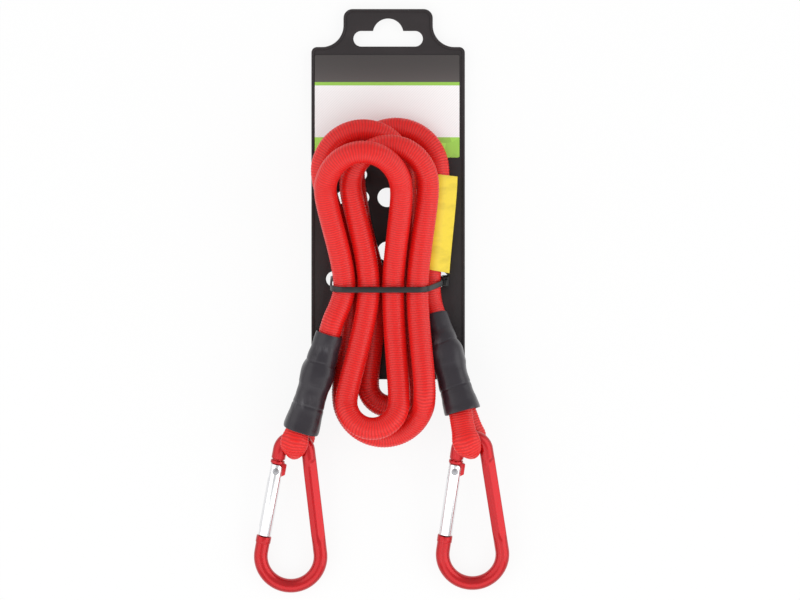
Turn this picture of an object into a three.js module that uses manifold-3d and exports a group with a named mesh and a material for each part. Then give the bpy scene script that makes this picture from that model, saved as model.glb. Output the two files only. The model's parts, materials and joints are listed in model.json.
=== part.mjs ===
// A hank of elastic cord with a carabiner at each end, tied to a hang card that lies on its back.
// Millimetres. X runs right, Y up the card, Z out of its front; the card's rim stands on Z = 0.

import * as THREE from "three";
import { mergeVertices } from "three/addons/utils/BufferGeometryUtils.js";
import Module from "manifold-3d";

const wasm = await Module();
wasm.setup();

// Where the waist of the hank lies, from the middle of the whole object.
const WAIST_X = 2.2;
const WAIST_Y = 5.3;

// Cord
const CORD_DIAMETER = 10;
const STRAND_AIR = 0.7;
const CORE_SHARE = 0.66;
const CORE_AIR = 0.3;
const SEAT_AIR = 0.3;
// How far the back layer's first two strands lie to the left, under the front strands.
const BACK_SHIFT = 2.7;
const UNDER_HANK_AIR = 1;

// Hank: the bows at the top and bottom of its loops. A bow has a middle, a radius, and heights
// at its start, peak and end, counted in strands above the layer that lies on the card. A knee is a
// point that the leg up to a bow passes under the strands over it.
const TOP_BOWS = [
  { x: -10.3, y: 42.3, radius: 16.6, heights: [2.0, 3.06, 2.0] },
  { x: 1.0, y: 45.0, radius: 16.9, heights: [1.5, 2.02, 1.5] },
  { x: -10.4, y: 50.9, radius: 18.2, heights: [0.65, 1.13, 0.65] },
  { x: 3.9, y: 51.6, radius: 18.6, heights: [0.03, 0.05, 0.03], knee: [-12, 30] },
];
const BOTTOM_BOWS = [
  { x: -6.3, y: -50, radius: 11.5, heights: [1.5, 1.75, 1.35] },
  { x: -1.5, y: -47.4, radius: 17.9, heights: [1.6, 0.45, 0.05] },
  { x: 1.2, y: -42.6, radius: 9.6, heights: [0.03, 0.06, 0.1] },
];
const BOW_STEPS = 8;
const LEG_STEPS = 4;
const COVER_SIDES = 10;
const CORE_SIDES = 6;

// Hang card
const CARD_LEFT = -33.5;
const CARD_RIGHT = 34.4;
const CARD_BOTTOM = -40.4;
const CARD_SHOULDER = 106.6;
const CARD_TOP = 123.4;
const CARD_CORNER = 2.5;
const TAB_WIDTH = 39.5;
const TAB_CORNER = 4;
const TAB_FILLET = 9.6;
const CARD_DEPTH = 3.9;
const RIM_WIDTH = 1.15;
const PLATE_BACK = 2.1;
const PLATE_FRONT = 3.3;
const SLOT_WIDTH = 30.7;
const SLOT_HEIGHT = 6.9;
const SLOT_BELOW_TOP = 13.1;
const SLOT_ARCH_WIDTH = 13.3;
const SLOT_ARCH_RISE = 5.5;
const SIGHT_HOLE = 8.5;
const SIGHT_HOLES_Y = [16.3, 40.1];
const SIDE_SLOT_WIDTH = 14.6;
const SIDE_SLOT_HEIGHT = 5.7;
const SIDE_SLOT_X = 15.2;
const SMALL_HOLE = 5;
const SMALL_HOLE_X = 11.4;
const SMALL_HOLE_Y = 50.2;
const TIE_HOLE = 6.8;
const TIE_HOLE_Y = 4;
const TIE_HOLE_INSET = 1.4;

// Paper insert
const INSERT_LEFT = -32;
const INSERT_RIGHT = 32;
const INSERT_BOTTOM = 57.7;
const INSERT_TOP = 103.1;
const INSERT_THICKNESS = 0.4;
const PAPER_SEAT = 0.05;

// Cable tie
const TIE_WIDTH = 2.5;
const TIE_THICKNESS = 1.1;
const TIE_AIR = 0.75;
const TIE_LEAN = THREE.MathUtils.degToRad(12);
const TIE_CORNER = 1;
const TIE_HEAD_WIDTH = 4.4;
const TIE_HEAD_DEPTH = 3;
const TIE_HEAD_LENGTH = 4.8;
const TIE_TAIL = 1.4;

// Flag tag on the last strand down
const TAG_BOTTOM = 8;
const TAG_TOP = 50;
const TAG_THICKNESS = 0.35;
const TAG_FLAG = 2.8;

// Cord ends: sleeve, clamp and eye. A mouth is the middle of the sleeve's upper end. From there the
// way to the carabiner has a bearing in plan and a rise, and it runs past the sleeve by a reach.
const SLEEVE_LENGTH = 44.5;
const SLEEVE_WALL = 0.7;
const CLAMP_WALL = 0.5;
const CLAMP_FROM = 17;
const CLAMP_TO = 22.5;
const HANK_IN_SLEEVE = 5;
const PRESSED_HALF_WIDTH = 5.7;
const PRESSED_HALF_DEPTH = 3.4;
const TAIL_END = 15.5;
const EYE_AIR = 0.55;
const EYE_HALF_WIDTH = 6.2;
const EYE_HALF_DEPTH = 3.5;
const NECK_HALF_DEPTH = 3;
const EYE_SKEW = 1.3;
const SLEEVE_SIDES = 20;
const SLEEVE_POWER = 3;
const ENDS = {
  left: {
    mouth: [-25.2, -20, 19.6],
    bearing: -16.84,
    rise: -7.93,
    reach: 10.56,
    lean: -2,
    heading: -17.4,
    knee: 0.4,
  },
  right: {
    mouth: [21, -12, 10.4],
    bearing: 15.3,
    rise: 5.25,
    reach: 17.7,
    lean: 0.5,
    heading: 12,
    knee: 0.3,
  },
};

// Carabiner, in its own plane: the small bow's middle is the origin and the big bow hangs below it.
const ROD_RADIUS = 3.05;
const SMALL_BOW = 6.3;
const BIG_BOW = 13.2;
const BOW_SPACING = 47;
const ROD_SIDES = 12;
const SMALL_BOW_STEPS = 8;
const BIG_BOW_STEPS = 12;
const FLOOR_AIR = 0.1;
const FACET_RIDGE = -0.4;
const FACET_INNER = 1.5;
const FACET_OUTER = 1;
const FACET_FROM = 5;
const FACET_TO = 41;
const FACET_RUN = 2;

// Gate, measured down from its hinge pin
const GATE_RADIUS = 2.8;
const GATE_SIDES = 16;
const PIN_FROM_BOW = 9.6;
const GATE_ABOVE_PIN = 3;
const GATE_BELOW_PIN = 29.6;
const GATE_AIR = 0.3;
const COLLAR_RADIUS = 3.1;
const COLLAR_LENGTH = 1.4;
const GROOVE_RADIUS = 2.4;
const GROOVE_LENGTH = 0.7;
const TONGUE_THICKNESS = 2;
const TONGUE_SLOT_AIR = 0.3;
const TONGUE_INNER = 3.5;
const TONGUE_OUTER = 2.2;
const TONGUE_BELOW_PIN = 2.8;
const TONGUE_TIP_HALF = 1.9;
const TONGUE_HOOK_BELOW_PIN = 1.2;
const FORK_BELOW_PIN = 3.9;
const NOSE_HEAD_RADIUS = 3.3;
const NOSE_HEAD_LENGTH = 3;
const NOSE_TONGUE_LENGTH = 3.7;
const NOSE_TONGUE_OUTER = 2.1;
const NOSE_TONGUE_INNER = 1.1;
const PIN_RADIUS = 1;
const PIN_AIR = 0.3;
const PIN_HEAD_RADIUS = 1.45;
const PIN_HEAD_HEIGHT = 0.45;
const BORE_RADIUS = 1.7;
const BORE_BELOW_PIN = 17;
const PLUNGER_RADIUS = 1.35;
const PLUNGER_HEAD = 3;
const PLUNGER_STEM_RADIUS = 0.55;
const PLUNGER_STEM = 4;
const SPRING_WIRE = 0.5;
const SPRING_RADIUS = 1.2;
const SPRING_CURLS = 8;
const CURL_STEPS = 8;
const WIRE_SIDES = 5;

const CORD_RADIUS = CORD_DIAMETER / 2;
const SLOT_Y = CARD_TOP - SLOT_BELOW_TOP;
const LANE = CORD_DIAMETER + STRAND_AIR;
const BACK_LAYER = PLATE_FRONT + UNDER_HANK_AIR + CORD_RADIUS;
const FRONT_LAYER = BACK_LAYER + Math.sqrt(LANE ** 2 - (LANE / 2 - BACK_SHIFT) ** 2);
const Z_AXIS = new THREE.Vector3(0, 0, 1);

const vec = (x, y, z = 0) => new THREE.Vector3(x, y, z);

// Solids

function geometryFrom(points, faces) {
  const geometry = new THREE.BufferGeometry().setFromPoints(points);
  geometry.setIndex(faces.flat());
  geometry.computeVertexNormals();
  return geometry;
}

function solidOf(geometry) {
  const bare = new THREE.BufferGeometry();
  bare.setAttribute("position", geometry.getAttribute("position"));
  bare.setIndex(geometry.index);
  const merged = mergeVertices(bare, 1e-4);
  const mesh = new wasm.Mesh({
    numProp: 3,
    vertProperties: merged.attributes.position.array,
    triVerts: new Uint32Array(merged.index.array),
  });
  return new wasm.Manifold(mesh);
}

function geometryOf(solid) {
  const mesh = solid.getMesh();
  const geometry = new THREE.BufferGeometry();
  geometry.setAttribute("position", new THREE.BufferAttribute(mesh.vertProperties, 3));
  geometry.setIndex(new THREE.BufferAttribute(mesh.triVerts, 1));
  geometry.computeVertexNormals();
  return geometry;
}

const join = (first, ...others) =>
  geometryOf(others.reduce((body, other) => body.add(solidOf(other)), solidOf(first)));

const cut = (first, ...tools) =>
  geometryOf(tools.reduce((body, tool) => body.subtract(solidOf(tool)), solidOf(first)));

const prism = (shape, from, to, curveSegments = 6) =>
  new THREE.ExtrudeGeometry(shape, { depth: to - from, bevelEnabled: false, curveSegments }).translate(
    0,
    0,
    from,
  );

const block = (x0, x1, y0, y1, z0, z1) =>
  new THREE.BoxGeometry(x1 - x0, y1 - y0, z1 - z0).translate((x0 + x1) / 2, (y0 + y1) / 2, (z0 + z1) / 2);

// A round bar along Y or Z.
const barY = (radius, y0, y1, sides) =>
  new THREE.CylinderGeometry(radius, radius, y1 - y0, sides).translate(0, (y0 + y1) / 2, 0);

const barZ = (radius, z0, z1, sides) =>
  new THREE.CylinderGeometry(radius, radius, z1 - z0, sides).rotateX(Math.PI / 2).translate(0, 0, (z0 + z1) / 2);

// An oval's points; a power over 2 squares it up.
function oval(sides, halfWidth, halfHeight = halfWidth, power = 2) {
  const bulge = (value) => Math.sign(value) * Math.pow(Math.abs(value), 2 / power);
  return Array.from({ length: sides }, (_, i) => {
    const angle = (2 * Math.PI * i) / sides;
    return [halfWidth * bulge(Math.cos(angle)), halfHeight * bulge(Math.sin(angle))];
  });
}

// A ring of points across a path: the section's second coordinate rises towards up.
function ringAt(at, along, up, section) {
  const tangent = along.clone().normalize();
  const rise = up.clone().addScaledVector(tangent, -up.dot(tangent)).normalize();
  const side = rise.clone().cross(tangent);
  return section.map(([x, y]) => at.clone().addScaledVector(side, x).addScaledVector(rise, y));
}

// Triangles between an outer and an inner loop of indices, facing the way the loops run.
function zip(outer, inner) {
  const faces = [];
  let i = 0;
  let j = 0;
  while (i < outer.length || j < inner.length) {
    const from = outer[i % outer.length];
    const to = inner[j % inner.length];
    const outerNext = (i + 1) / outer.length <= (j + 1) / inner.length;
    if (j >= inner.length || (i < outer.length && outerNext)) {
      faces.push([from, outer[(i + 1) % outer.length], to]);
      i += 1;
    } else {
      faces.push([from, inner[(j + 1) % inner.length], to]);
      j += 1;
    }
  }
  return faces;
}

const turned = (faces) => faces.map(([a, b, c]) => [a, c, b]);

function wallFaces(loops) {
  const faces = [];
  for (let i = 0; i + 1 < loops.length; i += 1) {
    loops[i].forEach((a, j) => {
      const next = (j + 1) % loops[i].length;
      faces.push([a, loops[i][next], loops[i + 1][next]]);
      faces.push([a, loops[i + 1][next], loops[i + 1][j]]);
    });
  }
  return faces;
}

const fan = (loop) => loop.slice(1, -1).map((a, i) => [loop[0], a, loop[i + 2]]);

// A closed skin over rings along a path; with inner rings it is a tube, open at both ends.
function tube(outerRings, innerRings = []) {
  const points = [];
  const number = (rings) =>
    rings.map((ring) => ring.map((point) => points.push(point) - 1));
  const outer = number(outerRings);
  const inner = number(innerRings);
  const faces = wallFaces(outer);
  if (inner.length) {
    faces.push(...turned(wallFaces(inner)));
    faces.push(...turned(zip(outer[0], inner[0])));
    faces.push(...zip(outer.at(-1), inner.at(-1)));
  } else {
    faces.push(...turned(fan(outer[0])), ...fan(outer.at(-1)));
  }
  return geometryFrom(points, faces);
}

// A cord along stations { at, along, up, width, depth }: its braided cover and its rubber core.
function cordPair(stations) {
  const rings = (sides, share, less) =>
    stations.map(({ at, along, up, width, depth }) =>
      ringAt(at, along, up, oval(sides, width * share - less, depth * share - less)),
    );
  return {
    cover: tube(rings(COVER_SIDES, 1, 0), rings(CORE_SIDES, CORE_SHARE, 0)),
    core: tube(rings(CORE_SIDES, CORE_SHARE, CORE_AIR)),
  };
}

// Materials

const finish = (name, color, roughness, metalness = 0) =>
  new THREE.MeshStandardMaterial({ name, color, roughness, metalness });
const braid = finish("red_braid", 0xd8231f, 0.75);
const rubber = finish("rubber_core", 0xd9c9a3, 0.8);
const shrink = finish("black_shrink", 0x3a383a, 0.55);
const anodised = finish("red_anodised", 0xb81826, 0.3, 1);
const silver = finish("bright_aluminium", 0xd9dadd, 0.25, 1);
const steel = finish("steel", 0xb0b2b5, 0.35, 1);
const plastic = finish("black_plastic", 0x2c292c, 0.5);
const paper = finish("printed_card", 0xe9e5e6, 0.6);
const vinyl = finish("yellow_vinyl", 0xf2d02c, 0.5);

const assembly = new THREE.Group();
const hankFrame = new THREE.Group();
hankFrame.position.set(WAIST_X, WAIST_Y, 0);
assembly.add(hankFrame);

function place(name, geometry, material, parent = hankFrame) {
  const mesh = new THREE.Mesh(geometry, material);
  mesh.name = name;
  parent.add(mesh);
  return mesh;
}

// Carabiner planes and the lines that the cord's ends follow

// The carabiner hangs in its eye and rests on its big bow.
function carabinerFrame({ mouth, bearing, rise, reach, lean }) {
  const { degToRad } = THREE.MathUtils;
  const flat = Math.cos(degToRad(rise));
  const away = vec(
    flat * Math.sin(degToRad(bearing)),
    -flat * Math.cos(degToRad(bearing)),
    Math.sin(degToRad(rise)),
  );
  const group = new THREE.Group();
  group.position.set(...mouth).addScaledVector(away, SLEEVE_LENGTH + reach);
  const drop = group.position.z - ROD_RADIUS - FLOOR_AIR;
  const pitch = Math.asin(drop / (BOW_SPACING + BIG_BOW));
  group.rotation.order = "ZXY";
  group.rotation.set(pitch, 0, degToRad(lean));
  group.updateMatrix();
  return group;
}

function endLine({ mouth, heading, knee }, carabiner) {
  const normal = Z_AXIS.clone().applyQuaternion(carabiner.quaternion);
  const turn = THREE.MathUtils.degToRad(heading);
  const into = vec(Math.sin(turn), -Math.cos(turn));
  into.z = -into.dot(normal) / normal.z;
  into.normalize();
  const start = vec(...mouth);
  const end = carabiner.position.clone();
  const bend = end.clone().addScaledVector(into, -knee * start.distanceTo(end));
  const curve = new THREE.QuadraticBezierCurve3(start, bend, end);
  const length = curve.getLength();
  // The point a distance along the line and a height out of it, with the directions there.
  const station = (distance, height = 0) => {
    const share = THREE.MathUtils.clamp(distance / length, 0, 1);
    const along = curve.getTangentAt(share);
    const up = normal.clone().addScaledVector(along, -normal.dot(along)).normalize();
    const at = curve.getPointAt(share);
    at.addScaledVector(along, distance - share * length).addScaledVector(up, height);
    return { at, along, up };
  };
  return { length, station };
}

const ends = Object.fromEntries(
  Object.entries(ENDS).map(([name, end]) => {
    const carabiner = carabinerFrame(end);
    return [name, { carabiner, line: endLine(end, carabiner) }];
  }),
);

// Hank

const laneX = (back, lane) => {
  const shift = back && lane < 2 ? BACK_SHIFT : 0;
  return LANE * (lane - 1.5 + (back ? 0.25 : -0.25)) - shift;
};

// A bow's points from its right or left side round to the other, turn being its half turn.
function bowPoints({ x, y, radius, heights }, from, turn) {
  const [start, peak, end] = heights;
  return Array.from({ length: BOW_STEPS + 1 }, (_, i) => {
    const share = i / BOW_STEPS;
    const angle = from + turn * share;
    const foot = share < 0.5 ? start : end;
    const height = THREE.MathUtils.lerp(foot, peak, Math.sin(Math.PI * share));
    return vec(x + radius * Math.cos(angle), y + radius * Math.sin(angle), BACK_LAYER + LANE * height);
  });
}

function hankRoute() {
  const points = [];
  const steps = [];
  const add = (list, legs) => {
    list.forEach((point, i) => {
      points.push(point);
      steps.push(i === 0 ? legs : 1);
    });
  };
  const leftIn = [-HANK_IN_SLEEVE, 0, HANK_IN_SLEEVE].map((d) => ends.left.line.station(-d).at);
  add(leftIn, 1);
  TOP_BOWS.forEach((bow, turn) => {
    const back = turn > 1;
    const layer = back ? BACK_LAYER : FRONT_LAYER;
    const lane = turn % 2;
    add([vec(laneX(back, lane), 0, layer)], turn ? LEG_STEPS : 2);
    if (bow.knee) add([vec(...bow.knee, layer)], LEG_STEPS / 2);
    add(bowPoints(bow, Math.PI, -Math.PI), bow.knee ? LEG_STEPS / 2 : LEG_STEPS);
    add([vec(laneX(back, lane + 2), 0, layer)], LEG_STEPS);
    const under = BOTTOM_BOWS[turn];
    if (under) add(bowPoints(under, 0, -Math.PI), LEG_STEPS);
  });
  const rightIn = [-HANK_IN_SLEEVE, 0, HANK_IN_SLEEVE].map((d) => ends.right.line.station(d).at);
  add(rightIn, 1);
  const curve = new THREE.CatmullRomCurve3(points, false, "centripetal");
  const shares = [0];
  for (let i = 1; i < points.length; i += 1) {
    for (let k = 1; k <= steps[i]; k += 1) {
      shares.push((i - 1 + k / steps[i]) / (points.length - 1));
    }
  }
  return { curve, shares };
}

// Least air between strands of one tube, on points close together along it.
function leastAir(curve, samples) {
  const points = curve.getSpacedPoints(samples);
  const apart = Math.ceil((2.6 * CORD_DIAMETER * samples) / curve.getLength());
  let least = Infinity;
  points.forEach((a, i) => {
    for (let j = i + apart; j < points.length; j += 1) {
      least = Math.min(least, a.distanceTo(points[j]));
    }
  });
  return least - CORD_DIAMETER;
}

const hank = hankRoute();
const hankStations = hank.shares.map((share) => ({
  at: hank.curve.getPoint(share),
  along: hank.curve.getTangent(share),
  up: Z_AXIS,
  width: CORD_RADIUS,
  depth: CORD_RADIUS,
}));
const hankCord = cordPair(hankStations);
place("cord_cover", hankCord.cover, braid);
place("cord_core", hankCord.core, rubber);
console.log("hank length", hank.curve.getLength().toFixed(1), "mm");
console.log("least gap of the hank to itself", leastAir(hank.curve, 1400).toFixed(2), "mm");

// Cord ends

// The doubled cord: distance along the end's line, height out of it, half width, half depth and the
// shift to the side that brings its two legs out of the sleeve side by side.
function eyeRows(rodAt) {
  const lay = PRESSED_HALF_DEPTH + SEAT_AIR;
  const neckHalfWidth = SMALL_BOW - ROD_RADIUS - SEAT_AIR;
  const inSleeve = [PRESSED_HALF_WIDTH, PRESSED_HALF_DEPTH];
  const standing = [
    [HANK_IN_SLEEVE + 2 * SEAT_AIR, 0, CORD_RADIUS - 0.1, CORD_RADIUS - 0.1],
    [HANK_IN_SLEEVE + 3, 0, CORD_RADIUS - 0.1, CORD_RADIUS - 0.2],
    [TAIL_END - 4, 2, CORD_RADIUS, 4.2],
    [TAIL_END, lay, ...inSleeve],
    [(TAIL_END + SLEEVE_LENGTH) / 2, lay, ...inSleeve],
    [SLEEVE_LENGTH - 8, lay, ...inSleeve],
    [rodAt - 4, lay + 2, PRESSED_HALF_WIDTH - 0.3, PRESSED_HALF_DEPTH, -EYE_SKEW],
  ];
  const bend = Array.from({ length: 9 }, (_, i) => {
    const angle = (Math.PI * i) / 8;
    const width = THREE.MathUtils.lerp(EYE_HALF_WIDTH, neckHalfWidth, Math.pow(Math.sin(angle), 3));
    const depth = THREE.MathUtils.lerp(EYE_HALF_DEPTH, NECK_HALF_DEPTH, Math.pow(Math.sin(angle), 2));
    const radius = ROD_RADIUS + EYE_AIR + depth;
    const shift = -EYE_SKEW * Math.cos(angle) ** 3;
    return [rodAt + radius * Math.sin(angle), radius * Math.cos(angle), width, depth, shift];
  });
  const tail = standing
    .slice(3)
    .reverse()
    .map(([along, height, width, depth, shift = 0]) => [along, -height, width, depth, -shift]);
  return [...standing, ...bend, ...tail];
}

function eyeStations({ line }) {
  const rows = eyeRows(line.length - SMALL_BOW);
  const points = rows.map(([distance, height, , , shift = 0]) => {
    const { at, along, up } = line.station(distance, height);
    return at.addScaledVector(up.cross(along), shift);
  });
  const curve = new THREE.CatmullRomCurve3(points, false, "centripetal");
  return rows.map(([distance, , width, depth], i) => {
    const share = i / (rows.length - 1);
    const along = curve.getTangent(share);
    const mid = line.station(distance);
    const side = mid.up.clone().cross(mid.along);
    return { at: curve.getPoint(share), along, up: along.clone().cross(side), width, depth };
  });
}

// A sleeve's inner half width and half depth, by distance from its mouth.
function sleeveRows() {
  const round = CORD_RADIUS + SEAT_AIR + 0.05;
  const wide = PRESSED_HALF_WIDTH + SEAT_AIR + 0.1;
  const deep = 2 * PRESSED_HALF_DEPTH + 2 * SEAT_AIR;
  const over = CLAMP_WALL + SEAT_AIR;
  return [
    [0, round, round, 2],
    [TAIL_END - 8.5, round, round + 0.2, 2],
    [TAIL_END - 4, round + 0.5, deep - 0.5, 2.5],
    [TAIL_END - 1.5, wide, deep, SLEEVE_POWER],
    [CLAMP_FROM - 0.6, wide + over, deep + over, SLEEVE_POWER],
    [CLAMP_TO + 0.6, wide + over, deep + over, SLEEVE_POWER],
    [CLAMP_TO + 2.2, wide, deep + 0.1, SLEEVE_POWER],
    [SLEEVE_LENGTH - 9, wide + 0.3, deep + 0.1, SLEEVE_POWER],
    [SLEEVE_LENGTH - 4, wide + 0.9, deep + 1, SLEEVE_POWER],
    [SLEEVE_LENGTH, wide + 1.3, deep + 2.6, SLEEVE_POWER],
  ];
}

const ovalsAlong = (line, rows, more = 0) =>
  rows.map(([distance, width, depth, power = SLEEVE_POWER]) => {
    const { at, along, up } = line.station(distance);
    return ringAt(at, along, up, oval(SLEEVE_SIDES, width + more, depth + more, power));
  });

Object.entries(ends).forEach(([name, end]) => {
  const eye = cordPair(eyeStations(end));
  place(`${name}_eye_cover`, eye.cover, braid);
  place(`${name}_eye_core`, eye.core, rubber);
  const sleeve = sleeveRows();
  place(
    `${name}_sleeve`,
    tube(ovalsAlong(end.line, sleeve, SLEEVE_WALL), ovalsAlong(end.line, sleeve)),
    shrink,
  );
  const clampWidth = PRESSED_HALF_WIDTH + SEAT_AIR + 0.1;
  const clampDepth = 2 * PRESSED_HALF_DEPTH + 2 * SEAT_AIR;
  const band = [CLAMP_FROM, CLAMP_TO].map((distance) => [distance, clampWidth, clampDepth]);
  place(
    `${name}_clamp`,
    tube(ovalsAlong(end.line, band, CLAMP_WALL), ovalsAlong(end.line, band)),
    steel,
  );
});

// Carabiners

const TANGENT_TILT = Math.asin((BIG_BOW - SMALL_BOW) / BOW_SPACING);
const SIDE_LENGTH = Math.sqrt(BOW_SPACING ** 2 - (BIG_BOW - SMALL_BOW) ** 2);
const onBow = (radius, angle, drop = 0) => vec(radius * Math.cos(angle), radius * Math.sin(angle) - drop);
const sideStart = (side) => onBow(SMALL_BOW, side > 0 ? TANGENT_TILT : Math.PI - TANGENT_TILT);
const downSide = (side) => vec(side * Math.sin(TANGENT_TILT), -Math.cos(TANGENT_TILT));
const onSide = (side, distance) => sideStart(side).addScaledVector(downSide(side), distance);
const NOSE_AT = PIN_FROM_BOW + GATE_BELOW_PIN + GATE_AIR;
const COLLAR_AT = PIN_FROM_BOW - GATE_ABOVE_PIN - GATE_AIR;

// The spine's section has a ridge on each face between a narrow inner and a wide outer facet.
function facetSection() {
  const corners = [
    [ROD_RADIUS, FACET_OUTER],
    [FACET_RIDGE, ROD_RADIUS],
    [-ROD_RADIUS, FACET_INNER],
    [-ROD_RADIUS, -FACET_INNER],
    [FACET_RIDGE, -ROD_RADIUS],
    [ROD_RADIUS, -FACET_OUTER],
  ];
  const middle = (a, b) => [(a[0] + b[0]) / 2, (a[1] + b[1]) / 2];
  return corners.flatMap((corner, i) => [middle(corners.at(i - 1), corner), corner]);
}

function frameRings() {
  const round = (radius) => oval(ROD_SIDES, radius);
  const facet = facetSection();
  const rings = [];
  const add = (at, along, section) => rings.push(ringAt(at, along, Z_AXIS, section));
  const upLeft = downSide(-1).negate();
  [
    [COLLAR_AT, COLLAR_RADIUS],
    [COLLAR_AT - COLLAR_LENGTH, COLLAR_RADIUS],
    [COLLAR_AT - COLLAR_LENGTH, GROOVE_RADIUS],
    [COLLAR_AT - COLLAR_LENGTH - GROOVE_LENGTH, GROOVE_RADIUS],
    [COLLAR_AT - COLLAR_LENGTH - GROOVE_LENGTH, ROD_RADIUS],
  ].forEach(([distance, radius]) => add(onSide(-1, distance), upLeft, round(radius)));
  for (let i = 0; i <= SMALL_BOW_STEPS; i += 1) {
    const angle = THREE.MathUtils.lerp(Math.PI - TANGENT_TILT, TANGENT_TILT, i / SMALL_BOW_STEPS);
    add(onBow(SMALL_BOW, angle), onBow(1, angle - Math.PI / 2), round(ROD_RADIUS));
  }
  const downRight = downSide(1);
  add(onSide(1, FACET_FROM), downRight, round(ROD_RADIUS));
  add(onSide(1, FACET_FROM + FACET_RUN), downRight, facet);
  add(onSide(1, FACET_TO - FACET_RUN), downRight, facet);
  add(onSide(1, FACET_TO), downRight, round(ROD_RADIUS));
  for (let i = 0; i <= BIG_BOW_STEPS; i += 1) {
    const angle = THREE.MathUtils.lerp(TANGENT_TILT, -Math.PI - TANGENT_TILT, i / BIG_BOW_STEPS);
    add(onBow(BIG_BOW, angle, BOW_SPACING), onBow(1, angle - Math.PI / 2), round(ROD_RADIUS));
  }
  [
    [NOSE_AT + NOSE_HEAD_LENGTH + 0.8, ROD_RADIUS],
    [NOSE_AT + NOSE_HEAD_LENGTH, NOSE_HEAD_RADIUS],
    [NOSE_AT, NOSE_HEAD_RADIUS],
  ].forEach(([distance, radius]) => add(onSide(-1, distance), upLeft, round(radius)));
  return rings;
}

// The gate's own space: its hinge pin is the origin, it hangs down -Y and +X is inside the carabiner.
function gateSpace() {
  const group = new THREE.Group();
  group.position.copy(onSide(-1, PIN_FROM_BOW));
  group.rotation.z = -TANGENT_TILT;
  group.updateMatrix();
  return group;
}

function hingeTongue() {
  const top = GATE_ABOVE_PIN + GATE_AIR + COLLAR_LENGTH / 2;
  const shape = new THREE.Shape();
  shape.moveTo(TONGUE_INNER, GATE_ABOVE_PIN + GATE_AIR);
  shape.lineTo(COLLAR_RADIUS - 0.6, top);
  shape.lineTo(-TONGUE_OUTER, top);
  shape.lineTo(-TONGUE_OUTER, -TONGUE_HOOK_BELOW_PIN);
  shape.lineTo(-TONGUE_TIP_HALF, -TONGUE_BELOW_PIN);
  shape.lineTo(TONGUE_TIP_HALF, -TONGUE_BELOW_PIN);
  shape.lineTo(TONGUE_INNER, -TONGUE_HOOK_BELOW_PIN);
  const hole = new THREE.Path();
  hole.absarc(0, 0, PIN_RADIUS + PIN_AIR, 0, 2 * Math.PI, true);
  shape.holes.push(hole);
  return prism(shape, -TONGUE_THICKNESS / 2, TONGUE_THICKNESS / 2);
}

function noseTongue() {
  const foot = -GATE_BELOW_PIN - GATE_AIR - NOSE_HEAD_LENGTH / 2;
  const tip = -GATE_BELOW_PIN - GATE_AIR + NOSE_TONGUE_LENGTH;
  const half = TONGUE_THICKNESS / 2;
  return block(-NOSE_TONGUE_OUTER, NOSE_TONGUE_INNER, foot, tip, -half, half);
}

function frameGeometry(space) {
  const tongues = [hingeTongue(), noseTongue()].map((tongue) => tongue.applyMatrix4(space.matrix));
  return join(tube(frameRings()), ...tongues);
}

// What the gate's inner top corner loses so that it turns clear of the collar.
function cornerRelief() {
  const shape = new THREE.Shape();
  const reach = GATE_RADIUS + 1;
  shape.moveTo(0, GATE_ABOVE_PIN);
  shape.absarc(0, 0, GATE_ABOVE_PIN, Math.PI / 2, 0, true);
  shape.lineTo(reach, 0);
  shape.lineTo(reach, GATE_ABOVE_PIN + 1);
  shape.lineTo(0, GATE_ABOVE_PIN + 1);
  return prism(shape, -reach, reach);
}

function gateGeometry() {
  const half = TONGUE_THICKNESS / 2 + TONGUE_SLOT_AIR;
  const reach = GATE_RADIUS + 1;
  const noseSlotTop = -GATE_BELOW_PIN + NOSE_TONGUE_LENGTH;
  return cut(
    barY(GATE_RADIUS, -GATE_BELOW_PIN, GATE_ABOVE_PIN, GATE_SIDES),
    barY(BORE_RADIUS, -BORE_BELOW_PIN, GATE_ABOVE_PIN + 1, GATE_SIDES),
    block(-reach, reach, -FORK_BELOW_PIN, GATE_ABOVE_PIN + 1, -half, half),
    block(-reach, NOSE_TONGUE_INNER + GATE_AIR, -GATE_BELOW_PIN - 1, noseSlotTop, -half, half),
    barZ(PIN_RADIUS + PIN_AIR, -reach, reach, 12),
    cornerRelief(),
  );
}

function pinGeometry() {
  const shoulder = GATE_RADIUS + 0.1;
  const end = shoulder + PIN_HEAD_HEIGHT;
  const profile = [
    [0, -end],
    [PIN_HEAD_RADIUS * 0.6, -end],
    [PIN_HEAD_RADIUS, -shoulder],
    [PIN_RADIUS, -shoulder],
    [PIN_RADIUS, shoulder],
    [PIN_HEAD_RADIUS, shoulder],
    [PIN_HEAD_RADIUS * 0.6, end],
    [0, end],
  ].map(([x, y]) => new THREE.Vector2(x, y));
  return new THREE.LatheGeometry(profile, 12).rotateX(Math.PI / 2);
}

const PLUNGER_TOP = -TONGUE_BELOW_PIN - GATE_AIR;
const SPRING_TOP = PLUNGER_TOP - PLUNGER_HEAD - GATE_AIR;

function plungerGeometry() {
  const neck = PLUNGER_TOP - PLUNGER_HEAD;
  const profile = [
    [0, neck - PLUNGER_STEM],
    [PLUNGER_STEM_RADIUS, neck - PLUNGER_STEM],
    [PLUNGER_STEM_RADIUS, neck],
    [PLUNGER_RADIUS, neck],
    [PLUNGER_RADIUS, PLUNGER_TOP - 0.3],
    [PLUNGER_RADIUS - 0.3, PLUNGER_TOP],
    [0, PLUNGER_TOP],
  ].map(([x, y]) => new THREE.Vector2(x, y));
  return new THREE.LatheGeometry(profile, 10);
}

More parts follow.
